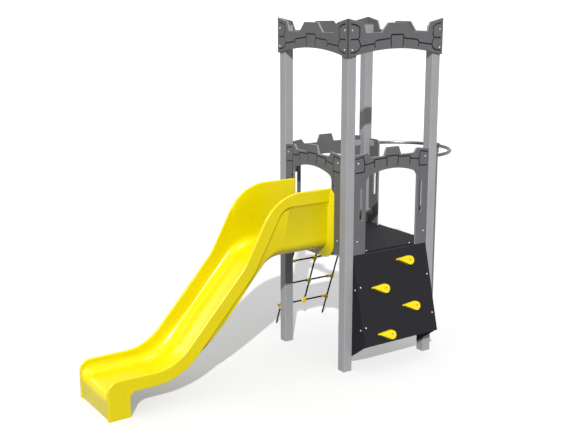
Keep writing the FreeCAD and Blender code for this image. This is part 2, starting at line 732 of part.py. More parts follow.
def bed_run(start, drop):
    """The bed's side line, or a line so far under it, from the tower to the ground at the exit."""
    line = chute_lines()
    slope_angle = math.radians(size("slope_angle"))
    under_bend = size("bend_height") - (size("bed_depth") + drop) / math.cos(slope_angle)
    high = size("bed_top") - drop
    low = size("bed_low") - drop
    knee = line["bend_out"] + (under_bend - high) / line["slope"]
    bend = line["bend_out"] + (under_bend - low) / line["slope"]
    front = line["exit_out"] - size("lip_recess") - drop
    return [
        (-start, high),
        (-knee, high, size("bed_knee_round") - drop),
        (-bend, low, size("bed_low_round") + drop),
        (-front, low, size("lip_round") - drop),
        (-front, 0),
    ]


def rounded_trough(start, drop, half, radius):
    """A block that fills the chute above a line under its bed, with its two long lower corners rounded."""
    beyond = chute_lines()["exit_out"] + 3 * size("bed_corner")
    above = size("rim_top") + 2 * size("bed_corner")
    bed = bed_run(start, drop)
    block = slab(bed + [(-beyond, 0), (-beyond, above), (-start, above)], -half, half)
    chosen = []
    for edge in block.Edges:
        box = edge.BoundBox
        level = box.XLength < 0.01
        flat_end = box.ZMax < 0.01 or box.ZMin > above - 1
        open_side = flat_end or box.YMax < -beyond + 1 or box.YMin > -start - 1
        if level and not open_side:
            chosen.append(edge)
    return block.makeFillet(radius, chosen)


def make_chute():
    """One hollow moulding: trough, rim bands with skirts, start flange and foot."""
    line = chute_lines()
    start = size(PANEL_FACE)
    exit_out = line["exit_out"]
    wall = size("chute_wall")
    inner = size("trough_half")
    outer = size("chute_half")
    hollow = rounded_trough(start - 100, 0, inner, size("bed_corner"))
    top = rim_run(start, 0)
    front = [(-exit_out, size("rim_low"), size("exit_round")), (-exit_out, 0)]
    under_rim = slab(top + front + [(-start, 0)], -inner - wall, inner + wall)
    shell = rounded_trough(start, wall, inner + wall, size("bed_corner") + wall).common(under_rim)

    band_low = rim_run(start, size("band_depth"))
    foot_out = exit_out - size("foot_length")
    low = size("rim_low") - size("band_depth")
    foot = [(-foot_out, 0), (-foot_out, low, size("foot_round"))]
    skirt_outline = top + front + foot + list(reversed(band_low))
    inset_top = rim_run(start - 50, wall)
    inset_out = exit_out - wall
    inset_front = [(-inset_out, size("rim_low") - wall, size("exit_round") - wall), (-inset_out, -50)]
    inset_low = [(-(foot_out - 150), -50), (-(foot_out - 150), low - 150)]
    inset_back = list(reversed(rim_run(start - 50, size("band_depth") + 150)))
    inset_outline = inset_top + inset_front + inset_low + inset_back

    solid = shell
    for sign in (1, -1):
        near, far = sorted((sign * (inner + wall / 2), sign * outer))
        band = slab(skirt_outline, near, far)
        near, far = sorted((sign * (inner + wall / 2), sign * (outer - wall)))
        room = slab(inset_outline, near, far)
        solid = solid.fuse(band.cut(room))
    solid = solid.fuse(make_flange_block(start, inner + wall))
    solid = solid.cut(hollow)
    lip = Part.makeBox(2 * (inner - size("bed_corner") / 2), size("lip_reach"), size("bed_top - deck_top"))
    lip.translate(Vector(-(inner - size("bed_corner") / 2), -start, size("deck_top")))
    solid = solid.fuse(lip).removeSplitter()
    for sign in (1, -1):
        for height in flange_bolt_heights():
            mouth = Vector(sign * size("arch_half + flange_bolt_inset"), -start + 1, size(height))
            hole = Part.makeCylinder(size(HOLE), size("flange_bolt_bite") + 1, mouth, Vector(0, -1, 0))
            solid = solid.cut(hole)
    item = doc.addObject("Part::Feature", "slide_chute")
    item.Shape = solid.Solids[0] if len(solid.Solids) == 1 else solid
    keep(item, "slide_chute")


def flange_bolt_heights():
    return ["(bed_top + flange_bolt_low + %d * flange_bolt_pitch)" % index for index in range(3)]


def make_flange_block(start, wall_half):
    """The flared start flange: wide against the panel, narrowing to the chute's walls."""
    rim = size("rim_top")
    flange = size("flange_half")
    base = size("bed_top - flange_drop")
    corner = size("flange_round")
    shoulder = rim - 2 * size("flange_flare")
    top_half = wall_half + size("chute_wall")
    wide = shield_wire(-start, flange, base, shoulder, rim, top_half, corner)
    thick = -start - size("chute_wall")
    wide_front = shield_wire(thick, flange, base, shoulder, rim, top_half, corner)
    narrow = shield_wire(thick - size("flange_flare"), wall_half, size("bed_top - chute_wall"),
                         shoulder, rim - 1, wall_half - 1, size("bed_corner"))
    plate = Part.makeLoft([wide, wide_front], True, True)
    flare = Part.makeLoft([wide_front, narrow], True, True)
    return plate.fuse(flare)


def shield_wire(y, half, base, shoulder, top, top_half, corner):
    """A shield outline: level top, sloping shoulders, upright sides and rounded lower corners."""
    slant = corner * (1 - math.sqrt(0.5))
    points = [
        Vector(-top_half, y, top), Vector(top_half, y, top), Vector(half, y, shoulder),
        Vector(half, y, base + corner), Vector(half - slant, y, base + slant),
        Vector(half - corner, y, base), Vector(-half + corner, y, base),
        Vector(-half + slant, y, base + slant), Vector(-half, y, base + corner),
        Vector(-half, y, shoulder),
    ]
    edges = [
        Part.makeLine(points[0], points[1]), Part.makeLine(points[1], points[2]),
        Part.makeLine(points[2], points[3]), Part.Arc(points[3], points[4], points[5]).toShape(),
        Part.makeLine(points[5], points[6]), Part.Arc(points[6], points[7], points[8]).toShape(),
        Part.makeLine(points[8], points[9]), Part.makeLine(points[9], points[0]),
    ]
    return Part.Wire(edges)


def make_flange_bolts():
    """Bolts from inside the tower through the panel's legs into the chute's flange."""
    bite = "board + flange_bolt_bite"
    body = bolt_master("flange_bolt_master", "bolt_head", "bolt_dome", "bolt_shank", bite)
    places = []
    about = FreeCAD.Rotation(Vector(0, 0, 1), 180)
    for sign in (1, -1):
        for height in flange_bolt_heights():
            across = sign * size("arch_half + flange_bolt_inset")
            places.append(FreeCAD.Placement(Vector(across, -size(PANEL_BACK), size(height)), about))
    place_copies("slide_flange_bolts", body, places)


def make_foot_angle():
    """A steel angle inside the chute's foot, which the ground anchors hold."""
    line = chute_lines()
    inside = line["exit_out"] - size("lip_recess + chute_wall")
    leg = size("foot_angle_leg")
    plate = size("foot_angle_plate")
    half = size("foot_angle_half")
    flat = Part.makeBox(2 * half, leg, plate, Vector(-half, -inside, 0))
    upright = Part.makeBox(2 * half, plate, leg, Vector(-half, -inside, 0))
    angle = flat.fuse(upright)
    for sign in (1, -1):
        at = Vector(sign * size("foot_anchor_spacing / 2"), -inside + leg / 2 + plate / 2, -1)
        angle = angle.cut(Part.makeCylinder(size("foot_anchor_hole / 2"), plate + 2, at))
    item = doc.addObject("Part::Feature", "slide_foot_anchor_angle")
    item.Shape = angle.removeSplitter()
    keep(item, "slide_foot_anchor_angle")


# The climbing wall.
# These pieces are drawn in the wall's own plane: X across, Z up the wall from its top edge, -Y out of it.

def wall_place():
    return leaning("wall", "wall_out", DECK_UNDER, "wall_lean")


def make_wall_panel():
    body = new_body("climbing_wall_panel")
    sketch = new_sketch(body, "XZ")
    draw_box(sketch, "-wall_half", "-wall_length", "wall_half", "0")
    board = pad(body, sketch, "board", back=True)
    break_edges(body, board, Vector(0, -1, 0), "edge_break")
    holes = new_sketch(body, "XZ")
    for across, down in GRIP_PLACES:
        draw_circle(holes, str(across), str(-down), HOLE)
    for sign in ("", "-"):
        for down in ("wall_bolt_high", "wall_bolt_low"):
            draw_circle(holes, sign + BATTEN_CENTRE, "-" + down, HOLE)
    pocket(body, holes, "3 * board", both=True)
    keep(body, "climbing_wall_panel", wall_place())


def make_batten(name, sign):
    """The square batten in the corner between the wall and a cheek."""
    body = new_body("wall_batten_" + name)
    sketch = new_sketch(body, "XY", "-batten_top")
    centre = sign + BATTEN_CENTRE
    draw_box(sketch, centre + " - batten / 2", "board", centre + " + batten / 2", "board + batten")
    pad(body, sketch, "wall_length - batten_top - batten_bottom", back=True)
    holes = new_sketch(body, "XZ")
    cross = new_sketch(body, "YZ")
    for down in ("wall_bolt_high", "wall_bolt_low"):
        draw_circle(holes, centre, "-" + down, HOLE)
        draw_circle(cross, "board + batten / 2", "-(%s + 2 * bolt_head)" % down, HOLE)
    doc.recompute()
    pocket(body, holes, "4 * batten", both=True)
    pocket(body, cross, "3 * post_spacing", both=True)
    keep(body, "wall_batten_" + name, wall_place())


def make_cheek(name, sign):
    """The side board between the wall and a post, with its lower edge raked back to the post."""
    body = new_body("wall_cheek_" + name)
    sketch = new_sketch(body, "YZ", sign + "(%s - board / 2)" % POST_INNER)

    def at(behind, down):
        out = "(wall_out + (%s) * sin(wall_lean) - (%s) * cos(wall_lean))" % (down, behind)
        up = "(%s - (%s) * cos(wall_lean) - (%s) * sin(wall_lean))" % (DECK_UNDER, down, behind)
        return "-" + out, up

    low = at("board", "wall_length")
    high = at("board", "edge_break")
    top = "(%s - beam_height)" % DECK_UNDER
    front = "-(%s + ((%s) - (%s)) * tan(wall_lean))" % (high[0][1:], high[1], top)
    rake = "(%s - (%s - cheek_back) * tan(cheek_rake))" % (low[1], low[0][1:])
    draw_loop(sketch, [low, ("-cheek_back", rake), ("-cheek_back", top), (front, top)])
    pad(body, sketch, "board", middle=True)
    holes = new_sketch(body, "YZ", sign + "(%s - board / 2)" % POST_INNER)
    for down in ("wall_bolt_high", "wall_bolt_low"):
        across, up = at("board + batten / 2", down + " + 2 * bolt_head")
        draw_circle(holes, across, up, HOLE)
    doc.recompute()
    pocket(body, holes, "3 * board", both=True)
    keep(body, "wall_cheek_" + name, turned("wall"))


def make_wall_bolts():
    """Bolts through the wall and the cheeks into the battens."""
    bite = "board + batten / 2 - bolt_bite"
    body = bolt_master("wall_bolt_master", "bolt_head", "bolt_dome", "bolt_shank", bite)
    places = []
    for sign in (1, -1):
        for down in ("wall_bolt_high", "wall_bolt_low"):
            front = Vector(sign * size(BATTEN_CENTRE), 0, -size(down))
            places.append(wall_place().multiply(FreeCAD.Placement(front, FreeCAD.Rotation())))
            below = -size(down + " + 2 * bolt_head")
            side = Vector(sign * size(POST_INNER), size("board + batten / 2"), below)
            inward = FreeCAD.Rotation(Vector(0, 0, 1), sign * 90)
            places.append(wall_place().multiply(FreeCAD.Placement(side, inward)))
    place_copies("wall_bolts", body, places)


def make_grip(number, across, down):
    """A teardrop grip with a recessed bolt hole, drawn about its round end with its tip towards -X."""
    body = new_body("climbing_grip_%d" % number)
    sketch = new_sketch(body, "XZ")
    lean = "((grip_round - grip_tip) / grip_reach)"
    rise = "sqrt(1 - %s * %s)" % (lean, lean)
    big = ("-grip_round * %s" % lean, "grip_round * %s" % rise)
    tip = ("-(grip_reach + grip_tip * %s)" % lean, "grip_tip * %s" % rise)
    draw_loop(sketch, [
        big,
        tip + ("-(grip_reach + grip_tip)", "0"),
        (tip[0], "-" + tip[1]),
        (big[0], "-" + big[1], "grip_round", "0"),
    ])
    block = pad(body, sketch, "grip_thick")
    tie(block, "TaperAngle", "-grip_taper")
    recess = new_sketch(body, "XZ", "grip_thick")
    draw_circle(recess, "0", "0", "grip_recess")
    doc.recompute()
    pocket(body, recess, "grip_recess_depth")
    hole = new_sketch(body, "XZ")
    draw_circle(hole, "0", "0", HOLE)
    pocket(body, hole, "3 * grip_thick", both=True)
    about = FreeCAD.Rotation(Vector(0, 1, 0), size("grip_turn"))
    local = FreeCAD.Placement(Vector(across, 0, -down), about)
    keep(body, "climbing_grip_%d" % number, wall_place().multiply(local))


def make_grip_bolts():
    body = bolt_master("grip_bolt_master", "grip_bolt_head", "bolt_dome", "bolt_shank",
                       "grip_thick - grip_recess_depth + board")
    seat = size("grip_thick - grip_recess_depth")
    places = []
    for across, down in GRIP_PLACES:
        at = FreeCAD.Placement(Vector(across, -seat, -down), FreeCAD.Rotation())
        places.append(wall_place().multiply(at))
    place_copies("climbing_grip_bolts", body, places)


# The climbing net.
# These pieces are drawn in the net's own plane, as the wall's are. The cross ropes lie on the outer
# side of the upright ropes, and a connector clasps both where they meet.

ROWS = ("row_high", "row_mid", "row_low")
COLUMNS = (-1, 0, 1)


def net_place():
    return leaning("net", "net_out", "deck_top", "net_lean")


def make_rope(label, start, end):
    """A taut rope between two points of the net's plane."""
    length = (end - start).Length
    item = doc.addObject("Part::Cylinder", label)
    tie(item, "Radius", "rope_radius")
    item.Height = length
    along = FreeCAD.Rotation(Vector(0, 0, 1), end - start)
    keep(item, label, net_place().multiply(FreeCAD.Placement(start, along)))


def rope_lift():
    return 2 * size("rope_radius + rope_clearance")


def make_net_ropes():
    for name, column in (("left", -1), ("middle", 0), ("right", 1)):
        across = column * size("net_pitch")
        end = size("net_end") if column else size("row_low + rope_radius")
        start = Vector(across, 0, -size("net_start"))
        make_rope("net_upright_rope_" + name, start, Vector(across, 0, -end))
    half = size("net_pitch + rope_radius")
    for row in ROWS:
        name = "net_cross_rope_" + row.split("_")[1]
        make_rope(name, Vector(-half, -rope_lift(), -size(row)), Vector(half, -rope_lift(), -size(row)))


def collar(centre, along, radius, length):
    base = centre - along * (length / 2)
    return Part.makeCylinder(radius, length, base, along)


def make_connector(at, stub_from, stub_to, collar_from, collar_to):
    """A moulded clasp: a stub along the cross rope and a collar along the upright rope."""
    radius = size("collar_radius")
    front = at + Vector(0, -rope_lift(), 0)
    stub = Part.makeCylinder(radius, stub_to - stub_from, front + Vector(stub_from, 0, 0), Vector(1, 0, 0))
    foot = at + Vector(0, 0, collar_from)
    upright = Part.makeCylinder(radius, collar_to - collar_from, foot, Vector(0, 0, 1))
    bore = size("rope_radius + rope_clearance")
    solid = stub.fuse(upright)
    solid = solid.cut(collar(front, Vector(1, 0, 0), bore, 300))
    solid = solid.cut(collar(at, Vector(0, 0, 1), bore, 300))
    return solid.removeSplitter()


def make_connectors():
    reach = size("stub_length")
    half = size("collar_length / 2")
    edge = size("collar_radius")
    crosses = []
    tees = []
    for row in ROWS:
        for column in COLUMNS:
            at = Vector(column * size("net_pitch"), 0, -size(row))
            if column == 0 and row != "row_low":
                crosses.append(make_connector(at, -half, half, -half, half))
            elif column == 0:
                tees.append(make_connector(at, -half, half, -edge, reach))
            else:
                ends = sorted((-column * reach, column * edge))
                tees.append(make_connector(at, ends[0], ends[1], -half, half))
    for label, solids in (("net_cross_connectors", crosses), ("net_tee_connectors", tees)):
        item = doc.addObject("Part::Feature", label)
        item.Shape = Part.makeCompound(solids)
        keep(item, label, net_place())


def make_hangers():
    """Plates welded to the net side's beam, each with a sleeve pressed on an upright rope's end."""
    beam = size("%s + beam_width / 2" % BEAM_CENTRE)
    height = size("hanger_height")
    plate = size("hanger_plate")
    top = size(DECK_UNDER)
    solids = []
    hung = leaning("slide", "net_out", "deck_top", "net_lean")
    for column in COLUMNS:
        across = column * size("net_pitch")
        start = hung.multVec(Vector(across, 0, -size("net_start")))
        end = hung.multVec(Vector(across, 0, -size("net_start + hanger_sleeve")))
        along = (end - start).normalize()
        reach = -beam - start.y
        arm = Part.makeBox(plate, reach, height, Vector(across - plate / 2, start.y, top - height))
        cover = size("hanger_plate")
        mouth = start - along * cover
        sleeve = Part.makeCylinder(size("sleeve_radius"), size("hanger_sleeve") + cover, mouth, along)
        bore = Part.makeCylinder(size("rope_radius"), size("hanger_sleeve") + 1, start, along)
        solids.append(arm.fuse(sleeve).cut(bore).removeSplitter())
    item = doc.addObject("Part::Feature", "net_hangers")
    item.Shape = Part.makeCompound(solids)
    keep(item, "net_hangers", turned("net"))


# The hoop and fireman's pole.

def make_hoop():
    """A half ring of tube from post to post on the pole side."""
    body = new_body("hoop_rail")
    sketch = new_sketch(body, "XZ")
    draw_circle(sketch, "post_spacing / 2", "0", "hoop_radius")
    draw_circle(sketch, "post_spacing / 2", "0", "hoop_radius - tube_wall")
    ring = body.newObject("PartDesign::Revolution", "hoop_turn")
    ring.Profile = sketch
    ring.ReferenceAxis = (sketch, ["V_Axis"])
    ring.Angle = 180
    doc.recompute()
    upward = ring.Shape.BoundBox.YMax > size("post_spacing / 4")
    about = FreeCAD.Rotation(Vector(0, 0, 1), 0 if upward else 180)
    keep(body, "hoop_rail", FreeCAD.Placement(Vector(0, size(HOOP_CENTRE), size("hoop_height")), about))


def make_hoop_flange(name, sign):
    body = new_body("hoop_flange_" + name)
    sketch = new_sketch(body, "XZ")
    draw_circle(sketch, "0", "0", "flange_disc")
    for place in ("flange_bolt_place", "-flange_bolt_place"):
        draw_circle(sketch, "0", place, HOLE)
    pad(body, sketch, "flange_plate")
    at = Vector(sign * size("post_spacing / 2"), size(HOOP_CENTRE), size("hoop_height"))
    keep(body, "hoop_flange_" + name, FreeCAD.Placement(at, FreeCAD.Rotation()))


def make_hoop_bolts():
    body = bolt_master("hoop_bolt_master", "bolt_head * 0.8", "bolt_dome", "bolt_shank",
                       "flange_plate + post_wall + bolt_bite / 2")
    places = []
    for sign in (1, -1):
        for place in (1, -1):
            height = size("hoop_height") + place * size("flange_bolt_place")
            places.append(bolt_at("pole", sign * size("post_spacing / 2"), size(HOOP_CENTRE), height))
    place_copies("hoop_flange_bolts", body, places)


def make_pole():
    """The sliding pole, from its ground flange to the clamp on the hoop."""
    body = new_body("firemans_pole")
    sketch = new_sketch(body, "XY", "pole_foot_plate")
    draw_circle(sketch, "0", "0", "pole_radius")
    draw_circle(sketch, "0", "0", "pole_radius - tube_wall")
    pad(body, sketch, "hoop_height - hoop_radius - pole_foot_plate - clamp_gap")
    at = FreeCAD.Placement(Vector(0, size(POLE_OUT), 0), FreeCAD.Rotation())
    keep(body, "firemans_pole", at)
    foot = new_body("pole_foot_flange")
    sketch = new_sketch(foot, "XY")
    draw_circle(sketch, "0", "0", "pole_foot_radius")
    for index in range(4):
        angle = "%d" % (45 + 90 * index)
        draw_circle(sketch, "pole_anchor_circle / 2 * cos(%s)" % angle,
                    "pole_anchor_circle / 2 * sin(%s)" % angle, "pole_anchor_hole / 2")
    pad(foot, sketch, "pole_foot_plate")
    keep(foot, "pole_foot_flange", at)


def make_pole_clamp():
    """A cast tee: a short sleeve along the hoop and a socket over the pole's end."""
    radius = size("clamp_radius")
    half = size("clamp_half")
    height = size("hoop_height")
    out = size(POLE_OUT)
    gap = size("clamp_gap")
    sleeve = Part.makeCylinder(radius, 2 * half, Vector(-half, out, height), Vector(1, 0, 0))
    foot = Vector(0, out, height - 2 * half - radius / 2)
    socket = Part.makeCylinder(radius, 2 * half, foot, Vector(0, 0, 1))
    ring = Part.makeTorus(size("post_spacing / 2"), size("hoop_radius") + gap,
                          Vector(0, size(HOOP_CENTRE), height), Vector(0, 0, 1))
    bore = Part.makeCylinder(size("pole_radius") + gap, height, Vector(0, out, -size("hoop_radius") - gap))
    item = doc.addObject("Part::Feature", "pole_clamp")
    item.Shape = sleeve.fuse(socket).cut(ring).cut(bore).removeSplitter()
    keep(item, "pole_clamp")


def build():
    for name, turn in POST_CORNERS.items():
        make_post(name, turn)
        make_cap(name, turn)
    make_feet()
    for side in SIDE_TURN:
        make_crown(side)
    for side in ("slide", "wall", "net"):
        make_arch_panel(side)
    make_pole_panel("wall_end", "-")
    make_pole_panel("net_end", "")
    make_tabs()
    bite = "board + tab_plate + bolt_bite"
    bolt = bolt_master("panel_bolt_master", "bolt_head", "bolt_dome", "bolt_shank", bite)
    place_copies("panel_bolts", bolt, panel_bolt_places())
    bite = "board + post_wall + bolt_bite"
    bolt = bolt_master("crown_bolt_master", "bolt_head", "bolt_dome", "bolt_shank", bite)
    place_copies("crown_bolts", bolt, crown_bolt_places())
    make_deck()
    for side in SIDE_TURN:
        make_beam(side)
    make_bearer("slide_end", "-")
    make_bearer("pole_end", "")
    make_deck_screws()
    make_chute()
    make_flange_bolts()
    make_foot_angle()
    make_wall_panel()
    for name, sign in (("slide_end", "-"), ("pole_end", "")):
        make_batten(name, sign)
        make_cheek(name, sign)
    make_wall_bolts()
    for number, (across, down) in enumerate(GRIP_PLACES, start=1):
        make_grip(number, across, down)
    make_grip_bolts()
    make_net_ropes()
    make_connectors()
    make_hangers()
    make_hoop()
    make_hoop_flange("wall_end", 1)
    make_hoop_flange("net_end", -1)
    make_hoop_bolts()
    make_pole()
    make_pole_clamp()


def check_and_write():
    doc.recompute()
    for item in doc.Objects:
        if "Invalid" in item.State or "Error" in item.State:
            raise ValueError("%s failed: %s" % (item.Name, item.State))
    for item in PARTS:
        if item.Shape.isNull() or not item.Shape.isValid():
            raise ValueError(item.Label + ": its shape is null or not valid")
    os.makedirs("parts", exist_ok=True)
    for item in PARTS:
        item.Shape.exportStep("parts/%s.step" % item.Label)
    print(len(PARTS), "sub-parts written")


build()
check_and_write()
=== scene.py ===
import math
import bmesh
import bpy
import numpy
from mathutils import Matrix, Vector


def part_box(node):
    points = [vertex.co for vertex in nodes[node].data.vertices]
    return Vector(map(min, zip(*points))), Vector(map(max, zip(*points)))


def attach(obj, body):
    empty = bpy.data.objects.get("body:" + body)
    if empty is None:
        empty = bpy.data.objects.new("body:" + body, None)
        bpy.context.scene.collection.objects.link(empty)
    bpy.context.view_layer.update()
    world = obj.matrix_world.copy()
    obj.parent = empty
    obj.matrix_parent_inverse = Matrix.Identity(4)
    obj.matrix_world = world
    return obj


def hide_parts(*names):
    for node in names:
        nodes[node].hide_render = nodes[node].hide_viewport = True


# Castle slide tower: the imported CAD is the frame, and the pieces made here sit on it.
# Metres throughout. The slide runs out along -Y, the climbing wall faces +X, the net hangs on -X.

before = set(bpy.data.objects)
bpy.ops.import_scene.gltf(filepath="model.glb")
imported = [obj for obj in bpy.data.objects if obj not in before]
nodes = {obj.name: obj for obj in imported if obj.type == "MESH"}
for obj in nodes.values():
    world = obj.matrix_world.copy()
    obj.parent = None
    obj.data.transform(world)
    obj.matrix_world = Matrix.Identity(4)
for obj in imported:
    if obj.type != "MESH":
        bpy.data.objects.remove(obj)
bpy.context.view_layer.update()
print("frame loaded:", len(nodes), "nodes")


def linearColour(hexColour):
    colour = []
    for start in (1, 3, 5):
        share = int(hexColour[start:start + 2], 16) / 255
        colour.append(share / 12.92 if share <= 0.04045 else ((share + 0.055) / 1.055) ** 2.4)
    return (*colour, 1.0)


# Adds one node: settings are its properties, inputs are values or output sockets by input name or index.
def addNode(tree, kind, settings=None, inputs=None):
    node = tree.nodes.new(kind)
    for name, value in (settings or {}).items():
        setattr(node, name, value)
    for name, value in (inputs or {}).items():
        if isinstance(value, bpy.types.NodeSocket):
            tree.links.new(value, node.inputs[name])
        else:
            node.inputs[name].default_value = value
    return node


def newMaterial(name, shine):
    material = bpy.data.materials.new(name)
    material.use_nodes = True
    tree = material.node_tree
    tree.nodes.clear()
    shader = addNode(tree, "ShaderNodeBsdfPrincipled", None, {"Specular IOR Level": shine})
    output = addNode(tree, "ShaderNodeOutputMaterial")
    tree.links.new(shader.outputs["BSDF"], output.inputs["Surface"])
    place = addNode(tree, "ShaderNodeTexCoord").outputs["Object"]
    return material, tree, shader, place


# A number that wanders softly between low and high over patches of about this size.
def wander(tree, place, patch, low, high, detail=3.0):
    noise = addNode(tree, "ShaderNodeTexNoise", None,
                    {"Vector": place, "Scale": 1 / patch, "Detail": detail})
    spread = addNode(tree, "ShaderNodeMapRange", None,
                     {"Value": noise.outputs["Fac"], "From Min": 0.3, "From Max": 0.7,
                      "To Min": low, "To Max": high})  # noise mostly lies from 0.3 to 0.7
    return spread.outputs["Result"]


def tinted(tree, colour, brightness):
    shade = addNode(tree, "ShaderNodeHueSaturation", None, {"Color": colour, "Value": brightness})
    return shade.outputs["Color"]


def roughen(tree, shader, height, depth):
    bump = addNode(tree, "ShaderNodeBump", None, {"Height": height, "Distance": depth})
    tree.links.new(bump.outputs["Normal"], shader.inputs["Normal"])


def linkValue(tree, shader, name, value):
    tree.links.new(value, shader.inputs[name])


# A look's colour, its brightness wandering within tone over patches, and its roughness within gloss.
def paintSurface(tree, shader, place, look):
    brightness = wander(tree, place, look["patch"], *look["tone"])
    linkValue(tree, shader, "Base Color", tinted(tree, linearColour(look["colour"]), brightness))
    linkValue(tree, shader, "Roughness", wander(tree, place, look["glossPatch"], *look["gloss"]))


def linkedObject(name, data):
    item = bpy.data.objects.new(name, data)
    bpy.context.collection.objects.link(item)
    return item


# Rotomoulded polyethylene: saturated, glossy, with the faint waviness of a mould-released skin.
chuteLook = {"colour": "#B8A900", "patch": 0.25, "tone": (0.97, 1.03), "glossPatch": 0.04,
             "gloss": (0.22, 0.3), "shine": 0.25, "waviness": 0.06, "waveDepth": 0.0002}


def makeChutePlastic():
    look = chuteLook
    material, tree, shader, place = newMaterial("rotomoulded polyethylene", look["shine"])
    paintSurface(tree, shader, place, look)
    roughen(tree, shader, wander(tree, place, look["waviness"], 0, 1, 0.0), look["waveDepth"])
    return material


# Powder-coated metal: even light grey with the fine orange peel of baked powder.
postLook = {"colour": "#828285", "patch": 0.3, "tone": (0.96, 1.04), "glossPatch": 0.05,
            "gloss": (0.38, 0.48), "shine": 0.4, "peel": 0.0025, "peelDepth": 0.00006}


def makePowderCoat():
    look = postLook
    material, tree, shader, place = newMaterial("powder-coated steel", look["shine"])
    paintSurface(tree, shader, place, look)
    roughen(tree, shader, wander(tree, place, look["peel"], 0, 1), look["peelDepth"])
    return material


# HDPE sandwich board: grey skin over a black core, which shows where the stone joints are routed through it.
# The sides' grey is lighter than the skin: a painted highlight where the board's edges catch the light.
boardLook = {"skin": "#525254", "edgeHighlight": "#6E6E71", "core": "#040405", "skinPatch": 0.12,
             "skinTone": (0.95, 1.05), "highlightPatch": 0.004, "highlightTone": (0.93, 1.07), "glossPatch": 0.01,
             "gloss": (0.45, 0.57), "shine": 0.25, "grain": 0.0012, "grainDepth": 0.00012,
             "skinThickness": 0.0004, "jointDepth": 0.004, "squareOn": 0.9}


# Face is how far the boards' outer faces stand from the tower's axis. What lies just behind it is a joint.
def makeStoneBoard(name, face):
    look = boardLook
    material, tree, shader, place = newMaterial(name, look["shine"])
    axes = addNode(tree, "ShaderNodeSeparateXYZ", None, {"Vector": place})
    across = addNode(tree, "ShaderNodeMath", {"operation": "ABSOLUTE"}, {0: axes.outputs["X"]})
    along = addNode(tree, "ShaderNodeMath", {"operation": "ABSOLUTE"}, {0: axes.outputs["Y"]})
    out = addNode(tree, "ShaderNodeMath", {"operation": "MAXIMUM"},
                  {0: across.outputs[0], 1: along.outputs[0]})
    behind = addNode(tree, "ShaderNodeMath", {"operation": "SUBTRACT"}, {0: face, 1: out.outputs[0]})
    throughSkin = addNode(tree, "ShaderNodeMath", {"operation": "GREATER_THAN"},
                          {0: behind.outputs[0], 1: look["skinThickness"]})
    inJoint = addNode(tree, "ShaderNodeMath", {"operation": "LESS_THAN"},
                      {0: behind.outputs[0], 1: look["jointDepth"]})
    joint = addNode(tree, "ShaderNodeMath", {"operation": "MULTIPLY"},
                    {0: throughSkin.outputs[0], 1: inJoint.outputs[0]})

    # A surface that looks straight out of the tower is a face or a joint's floor; a side is a milled edge,
    # and the sides are painted a lighter grey as a highlight where they catch the light.
    normal = addNode(tree, "ShaderNodeNewGeometry").outputs["True Normal"]
    level = addNode(tree, "ShaderNodeVectorMath", {"operation": "MULTIPLY"}, {0: place, 1: (1, 1, 0)})
    facing = addNode(tree, "ShaderNodeVectorMath", {"operation": "DOT_PRODUCT"},
                     {0: normal, 1: level.outputs[0]})
    outward = addNode(tree, "ShaderNodeMath", {"operation": "GREATER_THAN"},
                      {0: facing.outputs["Value"], 1: face * look["squareOn"]})
    black = addNode(tree, "ShaderNodeMath", {"operation": "MULTIPLY"},
                    {0: joint.outputs[0], 1: outward.outputs[0]})
    turned = addNode(tree, "ShaderNodeMath", {"operation": "ABSOLUTE"}, {0: facing.outputs["Value"]})
    highlightedSide = addNode(tree, "ShaderNodeMath", {"operation": "LESS_THAN"},
                     {0: turned.outputs[0], 1: face * look["squareOn"]})

    skinTone = wander(tree, place, look["skinPatch"], *look["skinTone"])
    highlightTone = wander(tree, place, look["highlightPatch"], *look["highlightTone"])
    # The sides get the lighter grey: a painted highlight, not a different material.
    faceOrHighlight = addNode(tree, "ShaderNodeMix", {"data_type": "RGBA"},
                        {"Factor": highlightedSide.outputs[0], 6: tinted(tree, linearColour(look["skin"]), skinTone),
                         7: tinted(tree, linearColour(look["edgeHighlight"]), highlightTone)})
    paint = addNode(tree, "ShaderNodeMix", {"data_type": "RGBA"},
                    {"Factor": black.outputs[0], 6: faceOrHighlight.outputs[2], 7: linearColour(look["core"])})
    linkValue(tree, shader, "Base Color", paint.outputs[2])
    linkValue(tree, shader, "Roughness", wander(tree, place, look["glossPatch"], *look["gloss"]))
    roughen(tree, shader, wander(tree, place, look["grain"], 0, 1), look["grainDepth"])
    return material


# Film-faced plywood and black board: dark, with the raised mesh pattern pressed into a non-slip face.
darkLook = {"colour": "#1D1C1F", "patch": 0.02, "tone": (0.9, 1.15), "glossPatch": 0.05, "gloss": (0.6, 0.75),
            "shine": 0.08, "pitch": 0.006, "unevenness": 0.15, "meshDepth": 0.0003}


def makeDarkBoard():
    look = darkLook
    material, tree, shader, place = newMaterial("film-faced plywood", look["shine"])
    paintSurface(tree, shader, place, look)
    cells = addNode(tree, "ShaderNodeTexVoronoi", {"feature": "DISTANCE_TO_EDGE"},
                    {"Vector": place, "Scale": 1 / look["pitch"], "Randomness": look["unevenness"]})
    roughen(tree, shader, cells.outputs["Distance"], look["meshDepth"])
    return material


# Moulded plastics: a fine even grain from the mould, with the tint and gloss of each.
mouldedGrain = {"patch": 0.03, "tone": (0.94, 1.06), "glossPatch": 0.008, "grain": 0.0015,
                "grainDepth": 0.00008}
plasticLooks = {
    "moulded grey polypropylene": {"colour": "#5E5E61", "gloss": (0.45, 0.57), "shine": 0.4},
    "moulded black polypropylene": {"colour": "#2A2A2C", "gloss": (0.5, 0.62), "shine": 0.3},
    "cast polyurethane grip resin": {"colour": "#C4AE00", "gloss": (0.35, 0.47), "shine": 0.4},
    "moulded yellow polyamide": {"colour": "#C4AE00", "gloss": (0.3, 0.42), "shine": 0.4},
}


